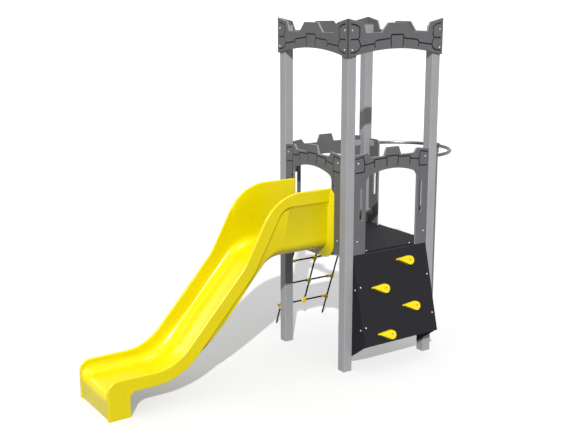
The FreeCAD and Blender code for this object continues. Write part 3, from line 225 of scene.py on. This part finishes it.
def makeMouldedPlastic(name):
    look = mouldedGrain | plasticLooks[name]
    material, tree, shader, place = newMaterial(name, look["shine"])
    paintSurface(tree, shader, place, look)
    roughen(tree, shader, wander(tree, place, look["grain"], 0, 1), look["grainDepth"])
    return material


# Metals: stainless bolts keep a fine turned grain, galvanised plates show zinc spangle, tubes are brushed.
metalLooks = {
    "stainless steel": {"colour": "#B9B9BB", "patch": 0.002, "tone": (0.92, 1.06), "gloss": (0.35, 0.5)},
    "galvanised steel": {"colour": "#9B9EA1", "patch": 0.012, "tone": (0.8, 1.1), "gloss": (0.4, 0.55)},
    "brushed tube steel": {"colour": "#727275", "patch": 0.02, "tone": (0.95, 1.05), "gloss": (0.28, 0.43)},
}


def makeMetal(name):
    look = metalLooks[name] | {"glossPatch": metalLooks[name]["patch"]}
    material, tree, shader, place = newMaterial(name, 0.5)
    paintSurface(tree, shader, place, look)
    shader.inputs["Metallic"].default_value = 1.0
    return material


# Laid polyamide rope: near black and dull, its fibres catching a little light along the strands.
ropeLook = {"colour": "#0C0C0E", "patch": 0.0008, "tone": (0.7, 1.5), "glossPatch": 0.003,
            "gloss": (0.8, 0.9),
            "shine": 0.15, "fibreDepth": 0.0003}


def makeRopeFibre():
    look = ropeLook
    material, tree, shader, place = newMaterial("laid polyamide", look["shine"])
    paintSurface(tree, shader, place, look)
    roughen(tree, shader, wander(tree, place, look["patch"], 0, 1), look["fibreDepth"])
    return material


stoneFace = -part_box("arch_panel_slide")[0].y
crownFace = -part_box("crown_panel_slide")[0].y
chutePlastic = makeChutePlastic()
powderCoat = makePowderCoat()
stoneBoard = makeStoneBoard("HDPE sandwich board", stoneFace)
crownBoard = makeStoneBoard("HDPE sandwich board crown", crownFace)
darkBoard = makeDarkBoard()
capPlastic = makeMouldedPlastic("moulded grey polypropylene")
battenPlastic = makeMouldedPlastic("moulded black polypropylene")
gripResin = makeMouldedPlastic("cast polyurethane grip resin")
connectorPlastic = makeMouldedPlastic("moulded yellow polyamide")
stainless = makeMetal("stainless steel")
galvanised = makeMetal("galvanised steel")
tubeSteel = makeMetal("brushed tube steel")
ropeFibre = makeRopeFibre()

# The start of a node's name gives its finish; the first that fits counts.
finishes = [
    ("post_cap", capPlastic), ("post_foot", galvanised), ("post_", powderCoat),
    ("arch_panel", stoneBoard), ("pole_side_panel", stoneBoard), ("crown_panel", crownBoard),
    ("deck_board", darkBoard), ("climbing_wall_panel", darkBoard), ("wall_cheek", darkBoard),
    ("wall_batten", battenPlastic), ("climbing_grip_bolts", stainless), ("climbing_grip", gripResin),
    ("slide_chute", chutePlastic), ("slide_foot", galvanised), ("deck_screws", stainless),
    ("deck_", galvanised), ("net_cross_connectors", connectorPlastic),
    ("net_tee_connectors", connectorPlastic), ("net_hangers", galvanised), ("net_", ropeFibre),
    ("firemans_pole", tubeSteel), ("hoop_flange_bolts", stainless), ("hoop_", tubeSteel),
    ("pole_", tubeSteel), ("panel_tabs", powderCoat), ("", stainless),
]
for nodeName, node in nodes.items():
    finish = [material for start, material in finishes if nodeName.startswith(start)][0]
    for index in range(len(node.data.materials)):
        node.data.materials[index] = finish
print("finishes set on the CAD nodes")


# A clean copy of a CAD node's mesh: vertices merged, normals outward.
def mergedMesh(nodeName):
    work = bmesh.new()
    work.from_mesh(nodes[nodeName].data)
    bmesh.ops.remove_doubles(work, verts=work.verts, dist=0.00001)
    bmesh.ops.recalc_face_normals(work, faces=work.faces)
    return work


def smoothEdges(mesh, angle=35):
    mesh.shade_smooth()
    mesh.set_sharp_from_angle(angle=math.radians(angle))


# A finished piece that stands in for one CAD node.
def newPiece(name, mesh, material, replaced):
    piece = linkedObject(name, mesh)
    mesh.materials.clear()
    mesh.materials.append(material)
    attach(piece, "root")
    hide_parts(replaced)


# What the modifiers of a helper object make, as a plain mesh; the helper goes.
def bakedMesh(helper):
    bpy.context.view_layer.update()
    shown = helper.evaluated_get(bpy.context.evaluated_depsgraph_get())
    mesh = bpy.data.meshes.new_from_object(shown)
    bpy.data.objects.remove(helper)
    return mesh


# A copy of a CAD node whose crisp edges are eased, as moulding or tumbling leaves them.
def easedCopy(nodeName, width, segments, material):
    work = mergedMesh(nodeName)
    bmesh.ops.dissolve_limit(work, angle_limit=math.radians(1), verts=work.verts, edges=work.edges)
    mesh = bpy.data.meshes.new(nodeName + " eased")
    work.to_mesh(mesh)
    work.free()
    helper = linkedObject(nodeName + " helper", mesh)
    bevel = helper.modifiers.new("ease", "BEVEL")
    bevel.width = width
    bevel.segments = segments
    bevel.limit_method = "ANGLE"
    bevel.angle_limit = math.radians(38)
    bevel.harden_normals = False
    eased = bakedMesh(helper)
    smoothEdges(eased, 45)
    newPiece(nodeName + "_skin", eased, material, nodeName)


# The chute: one closed skin, drawn as sections from the tower down to the ground. Each section joins a point
# of the rim's side line, of the band's lower edge, of the bed and of the bed's underside, in equal steps.
chuteShape = {"halfWidth": 0.318, "rimWidth": 0.026, "rimTop": 1.751, "rimLow": 0.350, "bandDepth": 0.125,
              "kneeOut": 1.150, "kneeRound": 0.456, "bendHeight": 1.134, "bendRound": 0.5, "lowRound": 0.43,
              "steep": 61.3, "slope": 47.6, "exitRound": 0.1, "bedTop": 1.172, "bedLow": 0.228,
              "bedDepth": 0.172, "bedKneeRound": 0.34, "bedMiddleRound": 0.12, "bedCorner": 0.097,
              "cornerShare": 0.75, "lipRound": 0.09, "lipRecess": 0.015, "wall": 0.008, "footLength": 0.204,
              "footRound": 0.064, "bandKneeRound": 0.16, "bandChamfer": 0.03, "slopeChamfer": 0.006,
              "bedSag": 0.009, "edgeRound": 0.004, "leastStep": 0.0005, "roundSteps": 8, "arcSteps": 16,
              "straightSteps": 10, "flangeHalf": 0.36, "flangeDrop": 0.102, "flangeCorner": 0.15,
              "flangeShoulder": 0.052, "flangePlate": 0.008, "flangeFlare": 0.026, "flangeSink": 0.004,
              "flangeTopInset": 0.01, "flangeTopDrop": 0.002, "lipHalf": 0.24, "lipReach": 0.04}


# Points along a line of (out, height, radius) corners: even steps on the straights, arcs at the corners.
def steppedRun(corners):
    points = [Vector(corners[0][:2])]
    for index in range(1, len(corners)):
        corner = Vector(corners[index][:2])
        arc = []
        arcStart = corner
        if index < len(corners) - 1:
            before = (Vector(corners[index - 1][:2]) - corner).normalized()
            after = (Vector(corners[index + 1][:2]) - corner).normalized()
            half = before.angle(after) / 2
            radius = corners[index][2]
            turns = half < math.radians(89)
            reach = radius / math.tan(half) if turns else radius
            arcStart = corner + before * reach
            arcEnd = corner + after * reach
            centre = corner + (before + after).normalized() * radius / math.sin(half)
            for step in range(1, chuteShape["arcSteps"] + 1):
                spot = arcStart.lerp(arcEnd, step / chuteShape["arcSteps"])
                arc.append(centre + (spot - centre).normalized() * radius if turns else spot)
        for step in range(1, chuteShape["straightSteps"] + 1):
            points.append(points[-1].lerp(arcStart, 1 / (chuteShape["straightSteps"] + 1 - step)))
        points += arc
    return points


# The same line of corners, moved square to itself; positive is below a line that runs outwards.
def shiftedRun(corners, distance):
    ways = [(Vector(b[:2]) - Vector(a[:2])).normalized() for a, b in zip(corners, corners[1:])]
    sides = [Vector((way.y, -way.x)) * distance for way in ways]
    moved = [tuple(Vector(corners[0][:2]) + sides[0])]
    for index in range(1, len(corners) - 1):
        first, second = ways[index - 1], ways[index]
        turn = first.x * second.y - first.y * second.x
        middle = sides[index - 1] + sides[index]
        spot = Vector(corners[index][:2]) + middle * (distance * distance / (middle.dot(sides[index])))
        radius = corners[index][2]
        if abs(turn) > 0.001:
            radius += distance if turn > 0 else -distance
        moved.append((spot.x, spot.y, radius))
    moved.append(tuple(Vector(corners[-1][:2]) + sides[-1]))
    return moved


def chuteLines():
    shape = chuteShape
    start = stoneFace
    steep = math.tan(math.radians(shape["steep"]))
    slope = math.tan(math.radians(shape["slope"]))
    exitOut = -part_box("slide_chute")[0].y
    bendOut = shape["kneeOut"] + (shape["rimTop"] - shape["bendHeight"]) / steep
    lowOut = bendOut + (shape["bendHeight"] - shape["rimLow"]) / slope
    rim = [(start, shape["rimTop"]), (shape["kneeOut"], shape["rimTop"], shape["kneeRound"]),
           (bendOut, shape["bendHeight"], shape["bendRound"]), (lowOut, shape["rimLow"], shape["lowRound"]),
           (exitOut, shape["rimLow"], shape["exitRound"]), (exitOut, 0)]
    footOut = exitOut - shape["footLength"]
    band = shiftedRun(rim, shape["bandDepth"])
    band[1] = (*band[1][:2], shape["bandKneeRound"])
    band[4:] = [(footOut, shape["rimLow"] - shape["bandDepth"], shape["footRound"]), (footOut, 0)]
    underBend = shape["bendHeight"] - shape["bedDepth"] / math.cos(math.radians(shape["slope"]))
    bedKnee = bendOut + (underBend - shape["bedTop"]) / slope
    bedBend = bendOut + (underBend - shape["bedLow"]) / slope
    front = exitOut - shape["lipRecess"]
    middle = ((bedKnee + bedBend) / 2, (shape["bedTop"] + shape["bedLow"]) / 2, shape["bedMiddleRound"])
    bed = [(start, shape["bedTop"]), (bedKnee, shape["bedTop"], shape["bedKneeRound"]), middle,
           (bedBend, shape["bedLow"], shape["lowRound"]), (front, shape["bedLow"], shape["lipRound"]),
           (front, 0)]
    under = shiftedRun(bed, shape["wall"])
    return [steppedRun(line) for line in (rim, band, bed, under)]


# One side of a section, from the middle of the bed over the rim to the middle of the underside.
def chuteSection(rim, band, bed, under, chamfer):
    shape = chuteShape
    half = shape["halfWidth"]
    inner = half - shape["rimWidth"]
    steps = shape["roundSteps"]
    deep = (bed - rim).length
    upBed = (rim - bed) / deep
    upBand = (rim - band).normalized()
    corner = min(shape["bedCorner"], shape["cornerShare"] * deep)
    points = []
    for step in range(steps):  # the bed, dished towards its middle
        dish = (1 + math.cos(math.pi * step / steps)) / 2
        sag = shape["bedSag"] * min(deep / shape["bedDepth"], 1) * dish
        points.append((step / steps * (inner - corner), bed - upBed * sag))
    for step in range(steps + 1):  # the corner up to the side
        turn = math.pi / 2 * step / steps
        rise = corner * (1 - math.cos(turn))
        points.append((inner - corner + corner * math.sin(turn), bed + upBed * rise))
    bead = shape["rimWidth"] / 2
    wallTop = rim - upBed * bead
    for share in (0.33, 0.66):
        points.append((inner, (bed + upBed * corner).lerp(wallTop, share)))
    for step in range(steps + 1):  # over the rim's bead
        turn = math.pi * step / steps
        down = upBed.lerp(upBand, step / steps).normalized()
        points.append((inner + bead - bead * math.cos(turn), rim - down * bead * (1 - math.sin(turn))))
    easing = shape["edgeRound"]  # the band's face and its eased lower edge
    points.append((half, rim - upBand * (bead + easing)))
    points.append((half, band + upBand * easing * 2))
    points.append((half, band + upBand * easing))
    points.append((half - easing * 0.3, band + upBand * easing * 0.3))

    boxTop = band - upBand * chamfer
    tall = max((boxTop - under).length, 0.001)
    turned = shape["bedCorner"] + shape["wall"]
    centre = inner - shape["bedCorner"]
    widest = math.acos(max(0.0, 1 - tall / turned))
    boxHalf = centre + turned * math.sin(widest)
    points.append((boxHalf + (half - boxHalf) * 0.8, band))
    points.append((boxHalf if tall > turned else boxHalf + shape["leastStep"], boxTop))
    for step in range(steps + 1):  # the outer side, round to the underside
        turn = widest * (1 - step / steps)
        rise = turned * (1 - math.cos(turn)) / tall
        points.append((centre + turned * math.sin(turn), under.lerp(boxTop, min(rise, 1.0))))
    points.append((0.0, under))
    return points


# Rings of points joined into one closed skin.
def addSweep(work, sections):
    rings = [[work.verts.new(spot) for spot in section] for section in sections]
    for first, second in zip(rings, rings[1:]):
        for index in range(len(first)):
            following = (index + 1) % len(first)
            work.faces.new((first[index], first[following], second[following], second[index]))
    work.faces.new(rings[0])
    work.faces.new(rings[-1])


# One side of the start flange's outline, from its top down to the middle of its lower edge.
def shieldSide(half, topHalf, base, corner):
    shape = chuteShape
    steps = shape["roundSteps"]
    outline = [(topHalf, shape["rimTop"] - shape["flangeTopDrop"]),
               (half, shape["rimTop"] - shape["flangeShoulder"])]
    for step in range(steps + 1):
        turn = math.pi / 2 * step / steps
        outline.append((half - corner * (1 - math.cos(turn)), base + corner * (1 - math.sin(turn))))
    return outline + [(0.0, base)]


def flangeSections():
    shape = chuteShape
    inner = shape["halfWidth"] - shape["rimWidth"]
    wall = shape["wall"]
    wide = shieldSide(shape["flangeHalf"], shape["halfWidth"] - shape["flangeTopInset"],
                      shape["bedTop"] - shape["flangeDrop"], shape["flangeCorner"])
    narrow = shieldSide(inner + wall, inner + wall, shape["bedTop"] - wall, shape["bedCorner"] + wall)
    hidden = shieldSide(inner + wall / 2, inner + wall / 2, shape["bedTop"] - wall / 2,
                        shape["bedCorner"] + wall / 2)
    plate = stoneFace + shape["flangePlate"]
    flare = plate + shape["flangeFlare"]
    outs = [(hidden, stoneFace), (wide, stoneFace), (wide, plate), (narrow, flare),
            (hidden, flare + shape["flangeSink"])]
    sections = []
    for index in range(len(wide)):
        sections.append([(outline[index][0], -out, outline[index][1]) for outline, out in outs])
    mirrored = [[(-x, y, z) for x, y, z in section] for section in reversed(sections[:-1])]
    return sections + mirrored


# The plate that carries the bed over the deck's edge.
def addLip(work):
    shape = chuteShape
    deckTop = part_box("deck_board")[1].z
    size = Vector((2 * shape["lipHalf"], shape["lipReach"], shape["bedTop"] - deckTop))
    centre = Vector((0, -stoneFace + shape["lipReach"] / 2, (shape["bedTop"] + deckTop) / 2))
    for vert in bmesh.ops.create_cube(work, size=1)["verts"]:
        vert.co = vert.co * size + centre


def makeChute():
    shape = chuteShape
    lines = chuteLines()
    perCorner = shape["straightSteps"] + shape["arcSteps"]
    sections = []
    for index, (rim, band, bed, under) in enumerate(zip(*lines)):
        passed = min(max((index - shape["straightSteps"]) / shape["arcSteps"], 0), 1)
        chamfer = shape["bandChamfer"] + (shape["slopeChamfer"] - shape["bandChamfer"]) * passed
        if index > 3 * perCorner + shape["straightSteps"]:
            chamfer = 0.0
        side = chuteSection(rim, band, bed, under, chamfer)
        right = [(x, -spot.x, spot.y) for x, spot in side]
        left = [(-x, y, z) for x, y, z in reversed(right[1:-1])]
        sections.append(right + left)
    work = bmesh.new()
    addSweep(work, sections)
    addSweep(work, flangeSections())
    addLip(work)
    bmesh.ops.remove_doubles(work, verts=work.verts, dist=0.00001)
    bmesh.ops.recalc_face_normals(work, faces=work.faces)
    mesh = bpy.data.meshes.new("chute skin")
    work.to_mesh(mesh)
    work.free()
    smoothEdges(mesh, 32)
    newPiece("chute_skin", mesh, chutePlastic, "slide_chute")


makeChute()
print("chute drawn")


# Climbing grips, connectors and small fittings keep the CAD's shape with their edges eased.
easings = [("climbing_grip_%d" % number, 0.012, 5, gripResin, "grip_plastic") for number in range(1, 5)]
easings += [
    ("net_cross_connectors", 0.003, 3, connectorPlastic, "connector_plastic"),
    ("net_tee_connectors", 0.003, 3, connectorPlastic, "connector_plastic"),
    ("pole_clamp", 0.002, 3, tubeSteel, "tube_steel"),
    ("pole_foot_flange", 0.0015, 2, tubeSteel, "tube_steel"),
    ("hoop_flange_wall_end", 0.0012, 2, tubeSteel, "tube_steel"),
    ("hoop_flange_net_end", 0.0012, 2, tubeSteel, "tube_steel"),
]
for nodeName, width, segments, material, slotName in easings:
    easedCopy(nodeName, width, segments, material)
print("small fittings eased")


# The separate bodies of a CAD node, each as an array of its vertices. The vertices are walked in the mesh's
# own order, so that every run gives the same arrays.
def islandsOf(nodeName):
    work = mergedMesh(nodeName)
    reached = set()
    islands = []
    for first in work.verts:
        if first in reached:
            continue
        reached.add(first)
        edge = [first]
        island = []
        while edge:
            vert = edge.pop()
            island.append(vert.co.copy())
            for link in vert.link_edges:
                other = link.other_vert(vert)
                if other not in reached:
                    reached.add(other)
                    edge.append(other)
        islands.append(numpy.array(island))
    work.free()
    return islands


# The straight line through a long body: its two ends and its direction.
def axisOf(points):
    way = numpy.linalg.svd(points - points.mean(0), full_matrices=False)[2][0]
    along = (points - points.mean(0)) @ way
    ends = []
    for limit in (along.min(), along.max()):
        near = points[abs(along - limit) < 0.0005]
        ends.append(near.mean(0))
    return ends, way


# Where a bolt's head sits: the middle of its seat, the way it faces and its radius.
def headOf(points):
    ends, way = axisOf(points)
    centre = numpy.array(ends[0])
    arms = points - centre
    along = arms @ way
    away = numpy.linalg.norm(arms - numpy.outer(along, way), axis=1)
    radius = away.max()
    seat = along[away > radius * 0.97].mean()
    ahead, back = along.max() - seat, seat - along.min()
    outward = way if ahead < back else -way
    return centre + way * seat, outward, radius


# Geometry Nodes helper: sets the value of a modifier's input by the socket's name.
def setInput(modifier, name, value):
    for item in modifier.node_group.interface.items_tree:
        if item.item_type == "SOCKET" and item.in_out == "INPUT" and item.name == name:
            modifier[item.identifier] = value


def newGroup(name, inputs):
    group = bpy.data.node_groups.new(name, "GeometryNodeTree")
    group.interface.new_socket("Geometry", in_out="INPUT", socket_type="NodeSocketGeometry")
    for inputName, kind in inputs:
        group.interface.new_socket(inputName, in_out="INPUT", socket_type=kind)
    group.interface.new_socket("Geometry", in_out="OUTPUT", socket_type="NodeSocketGeometry")
    return group, addNode(group, "NodeGroupInput"), addNode(group, "NodeGroupOutput")


# A head stands on each point, turned so that its axis follows the point's facing.
def headGroup():
    group, given, made = newGroup("heads on seats", [("Head", "NodeSocketObject"),
                                                     ("Finish", "NodeSocketMaterial")])
    head = addNode(group, "GeometryNodeObjectInfo", None, {"Object": given.outputs["Head"]})
    facing = addNode(group, "GeometryNodeInputNamedAttribute", {"data_type": "FLOAT_VECTOR"},
                     {"Name": "facing"})
    width = addNode(group, "GeometryNodeInputNamedAttribute", {"data_type": "FLOAT"}, {"Name": "width"})
    turn = addNode(group, "FunctionNodeAlignRotationToVector", {"axis": "Z"},
                   {"Vector": facing.outputs["Attribute"]})
    placed = addNode(group, "GeometryNodeInstanceOnPoints", None,
                     {"Points": given.outputs["Geometry"], "Instance": head.outputs["Geometry"],
                      "Rotation": turn.outputs["Rotation"], "Scale": width.outputs["Attribute"]})
    solid = addNode(group, "GeometryNodeRealizeInstances", None, {"Geometry": placed.outputs["Instances"]})
    finished = addNode(group, "GeometryNodeSetMaterial", None,
                       {"Geometry": solid.outputs["Geometry"], "Material": given.outputs["Finish"]})
    group.links.new(finished.outputs["Geometry"], made.inputs["Geometry"])
    return group


# A button head of unit radius, lathed from its profile, with a six-sided key socket.
headShape = {"rise": 0.5, "flange": 0.1, "sink": 0.02, "domeShare": 0.96, "domeTurn": 0.75, "domeSteps": 6,
             "socket": 0.4, "socketDepth": 0.3, "sides": 24}


def makeHeadPattern():
    shape = headShape
    work = bmesh.new()
    profile = [(1.0, -shape["sink"]), (1.0, shape["flange"])]
    for step in range(1, shape["domeSteps"]):
        turn = math.pi / 2 * step / shape["domeSteps"]
        radius = shape["domeShare"] * math.cos(turn * shape["domeTurn"])
        profile.append((radius, shape["flange"] + shape["rise"] * math.sin(turn)))
    turns = [2 * math.pi * index / shape["sides"] for index in range(shape["sides"])]
    rings = []
    for radius, height in profile:
        rings.append([(radius * math.cos(turn), radius * math.sin(turn), height) for turn in turns])
    for depth in (0, shape["socketDepth"]):
        ring = []
        for turn in turns:
            part = (turn + math.pi / 6) % (math.pi / 3) - math.pi / 6
            reach = shape["socket"] / math.cos(part)
            ring.append((reach * math.cos(turn), reach * math.sin(turn), profile[-1][1] - depth))
        rings.append(ring)
    addSweep(work, rings)
    bmesh.ops.recalc_face_normals(work, faces=work.faces)
    mesh = bpy.data.meshes.new("button head")
    work.to_mesh(mesh)
    work.free()
    smoothEdges(mesh, 40)
    return linkedObject("button head", mesh)


def makeHeads(nodeName, material, pattern, group):
    heads = [headOf(points) for points in islandsOf(nodeName)]
    mesh = bpy.data.meshes.new(nodeName + " seats")
    mesh.from_pydata([tuple(seat) for seat, outward, radius in heads], [], [])
    mesh.attributes.new("facing", "FLOAT_VECTOR", "POINT")
    mesh.attributes.new("width", "FLOAT", "POINT")
    for index, (seat, outward, radius) in enumerate(heads):
        mesh.attributes["facing"].data[index].vector = outward
        mesh.attributes["width"].data[index].value = radius
    helper = linkedObject(nodeName + " seats", mesh)
    modifier = helper.modifiers.new("heads", "NODES")
    modifier.node_group = group
    setInput(modifier, "Head", pattern)
    setInput(modifier, "Finish", material)
    newPiece(nodeName + "_heads", bakedMesh(helper), material, nodeName)


pattern = makeHeadPattern()
heads = headGroup()
for nodeName in ("panel_bolts", "crown_bolts", "wall_bolts", "climbing_grip_bolts", "slide_flange_bolts",
                 "hoop_flange_bolts", "deck_screws"):
    makeHeads(nodeName, stainless, pattern, heads)
bpy.data.objects.remove(pattern)
print("bolt heads placed")


# Ropes: a lobed ring is swept along each straight line; its tilt grows with the length, so that the lobes
# become six laid strands.
ropeShape = {"strands": 6, "lobe": 0.07, "lay": 0.11, "step": 0.004, "sides": 36}


def ropeGroup():
    group, given, made = newGroup("laid rope", [("Radius", "NodeSocketFloat"), ("Lay", "NodeSocketFloat"),
                                                ("Finish", "NodeSocketMaterial")])
    line = addNode(group, "GeometryNodeMeshToCurve", None, {"Mesh": given.outputs["Geometry"]})
    fine = addNode(group, "GeometryNodeResampleCurve", {"mode": "LENGTH"},
                   {"Curve": line.outputs["Curve"], "Length": ropeShape["step"]})
    along = addNode(group, "GeometryNodeSplineParameter")
    turns = addNode(group, "ShaderNodeMath", {"operation": "DIVIDE"},
                    {0: along.outputs["Length"], 1: given.outputs["Lay"]})
    angle = addNode(group, "ShaderNodeMath", {"operation": "MULTIPLY"}, {0: turns.outputs[0], 1: 2 * math.pi})
    tilted = addNode(group, "GeometryNodeSetCurveTilt", None,
                     {"Curve": fine.outputs["Curve"], "Tilt": angle.outputs[0]})
    ring = addNode(group, "GeometryNodeCurvePrimitiveCircle", {"mode": "RADIUS"},
                   {"Resolution": ropeShape["sides"], "Radius": given.outputs["Radius"]})
    place = addNode(group, "GeometryNodeSplineParameter")
    wave = addNode(group, "ShaderNodeMath", {"operation": "MULTIPLY"},
                   {0: place.outputs["Factor"], 1: math.pi * ropeShape["strands"]})
    lobes = addNode(group, "ShaderNodeMath", {"operation": "SINE"}, {0: wave.outputs[0]})
    bulge = addNode(group, "ShaderNodeMath", {"operation": "ABSOLUTE"}, {0: lobes.outputs[0]})
    share = addNode(group, "ShaderNodeMath", {"operation": "MULTIPLY_ADD"},
                    {0: bulge.outputs[0], 1: ropeShape["lobe"] * 2, 2: 1 - ropeShape["lobe"] * 2})
    spot = addNode(group, "GeometryNodeInputPosition")
    scaled = addNode(group, "ShaderNodeVectorMath", {"operation": "SCALE"},
                     {0: spot.outputs["Position"], "Scale": share.outputs[0]})
    lobed = addNode(group, "GeometryNodeSetPosition", None,
                    {"Geometry": ring.outputs["Curve"], "Position": scaled.outputs["Vector"]})
    swept = addNode(group, "GeometryNodeCurveToMesh", None,
                    {"Curve": tilted.outputs["Curve"], "Profile Curve": lobed.outputs["Geometry"],
                     "Fill Caps": True})
    solid = addNode(group, "GeometryNodeRealizeInstances", None, {"Geometry": swept.outputs["Mesh"]})
    coated = addNode(group, "GeometryNodeSetMaterial", None,
                     {"Geometry": solid.outputs["Geometry"], "Material": given.outputs["Finish"]})
    group.links.new(coated.outputs["Geometry"], made.inputs["Geometry"])
    return group


def makeRope(nodeName, group):
    for points in islandsOf(nodeName):
        ends, way = axisOf(points)
        away = points - ends[0]
        radius = float(numpy.linalg.norm(away - numpy.outer(away @ way, way), axis=1).max())
        mesh = bpy.data.meshes.new(nodeName + " line")
        mesh.from_pydata([tuple(end) for end in ends], [(0, 1)], [])
        helper = linkedObject(nodeName + " line", mesh)
        modifier = helper.modifiers.new("rope", "NODES")
        modifier.node_group = group
        setInput(modifier, "Radius", radius)
        setInput(modifier, "Lay", ropeShape["lay"])
        setInput(modifier, "Finish", ropeFibre)
        laid = bakedMesh(helper)
        smoothEdges(laid, 60)
        newPiece(nodeName + "_strands", laid, ropeFibre, nodeName)


laidRope = ropeGroup()
for nodeName in sorted(nodes):
    if nodeName.startswith(("net_upright_rope", "net_cross_rope")):
        makeRope(nodeName, laidRope)
print("ropes laid")


# The camera: where it stands, the way it looks in degrees, its lens and its sensor in millimetres.
cameraSet = {"place": (7.0605, -5.5497, 3.4024), "azimuth": 56.046, "elevation": 12.9605, "lens": 57.0,
             "sensor": 36}


def viewBack():
    azimuth = math.radians(cameraSet["azimuth"])
    elevation = math.radians(cameraSet["elevation"])
    return Vector((math.sin(azimuth) * math.cos(elevation), -math.cos(azimuth) * math.cos(elevation),
                   math.sin(elevation)))


def makeCamera():
    data = bpy.data.cameras.new("camera")
    data.lens = cameraSet["lens"]
    data.sensor_width = cameraSet["sensor"]
    camera = linkedObject("camera", data)
    camera.location = cameraSet["place"]
    camera.rotation_euler = viewBack().to_track_quat("Z", "Y").to_euler()
    bpy.context.scene.camera = camera


# Studio floor: pale, and swept up into a backdrop behind the tower.
floorShape = {"reach": 18.0, "front": 80.0, "halfWidth": 80.0, "wallHeight": 9.0, "sweepRadius": 8.0,
              "sweepSteps": 24, "drop": 0.001}
floorLook = {"colour": "#B6B6B6", "patch": 0.8, "tone": (0.995, 1.005), "roughness": 0.9}


def paintFloor(mesh):
    look = floorLook
    material, tree, shader, place = newMaterial("studio floor paint", 0.1)
    tone = wander(tree, place, look["patch"], *look["tone"])
    linkValue(tree, shader, "Base Color", tinted(tree, linearColour(look["colour"]), tone))
    shader.inputs["Roughness"].default_value = look["roughness"]
    mesh.materials.append(material)


def makeFloor():
    shape = floorShape
    back = viewBack()
    depthWay = Vector((-back.x, -back.y, 0)).normalized()
    sideWay = Vector((-depthWay.y, depthWay.x, 0))
    radius = shape["sweepRadius"]
    flatEnd = shape["reach"] - radius
    profile = [(-shape["front"], -shape["drop"]), (flatEnd, -shape["drop"])]
    for step in range(1, shape["sweepSteps"] + 1):
        turn = math.pi / 2 * step / shape["sweepSteps"]
        profile.append((flatEnd + radius * math.sin(turn), radius * (1 - math.cos(turn)) - shape["drop"]))
    profile.append((shape["reach"], shape["wallHeight"]))
    mesh = bpy.data.meshes.new("studio floor")
    points = []
    for along, height in profile:
        for side in (-1, 1):
            spot = depthWay * along + sideWay * side * shape["halfWidth"]
            points.append((spot.x, spot.y, height))
    faces = [(2 * i, 2 * i + 2, 2 * i + 3, 2 * i + 1) for i in range(len(profile) - 1)]
    mesh.from_pydata(points, [], faces)
    mesh.shade_smooth()
    floor = linkedObject("studio floor", mesh)
    paintFloor(mesh)
    floor.visible_diffuse = False  # its white must not light the undersides
    floor.visible_shadow = False


# The sky: bright above the horizon and dim below it, with a soft step between.
skyLook = {"above": 0.75, "below": 0.2, "softStep": 0.1}


def makeSky():
    world = bpy.data.worlds.new("studio sky")
    bpy.context.scene.world = world
    world.use_nodes = True
    tree = world.node_tree
    sky = tree.nodes["Background"]
    way = addNode(tree, "ShaderNodeTexCoord").outputs["Generated"]
    axes = addNode(tree, "ShaderNodeSeparateXYZ", None, {"Vector": way})
    level = addNode(tree, "ShaderNodeMapRange", None,
                    {"Value": axes.outputs["Z"], "From Min": -skyLook["softStep"],
                     "From Max": skyLook["softStep"], "To Min": skyLook["below"], "To Max": skyLook["above"]})
    sky.inputs["Color"].default_value = (1, 1, 1, 1)
    tree.links.new(level.outputs["Result"], sky.inputs["Strength"])


# Suns: the way the light travels, its strength, how wide the sun is in degrees and whether it casts shadows.
suns = [("key sun", (-1.25, 0.95, -1.0), 5.0, 1.0, True), ("overhead fill", (0, 0, -1), 1.9, 20, False)]


def makeSuns():
    for name, travel, strength, width, castsShadows in suns:
        sun = bpy.data.lights.new(name, "SUN")
        sun.energy = strength
        sun.angle = math.radians(width)
        sun.use_shadow = castsShadows
        lamp = linkedObject(name, sun)
        lamp.rotation_euler = Vector(travel).to_track_quat("-Z", "Y").to_euler()


# A softbox beyond the slide, which the trough mirrors as one long streak; it lights the chute only.
softbox = {"place": (-4.56, -4.46, 3.69), "aim": (0, -1.8, 0.75), "width": 0.35, "height": 1.8, "power": 45}


def makeSoftbox():
    light = bpy.data.lights.new("streak softbox", "AREA")
    light.shape = "RECTANGLE"
    light.size = softbox["width"]
    light.size_y = softbox["height"]
    light.energy = softbox["power"]
    lamp = linkedObject("streak softbox", light)
    lamp.location = softbox["place"]
    aim = Vector(softbox["aim"]) - lamp.location
    lamp.rotation_euler = aim.to_track_quat("-Z", "Y").to_euler()
    lit = bpy.data.collections.new("lit by the softbox")
    lit.objects.link(bpy.data.objects["chute_skin"])
    lamp.light_linking.receiver_collection = lit


makeFloor()
makeSky()
makeSuns()
makeSoftbox()
makeCamera()
bpy.context.scene.view_settings.view_transform = "Standard"
print("studio and camera set")
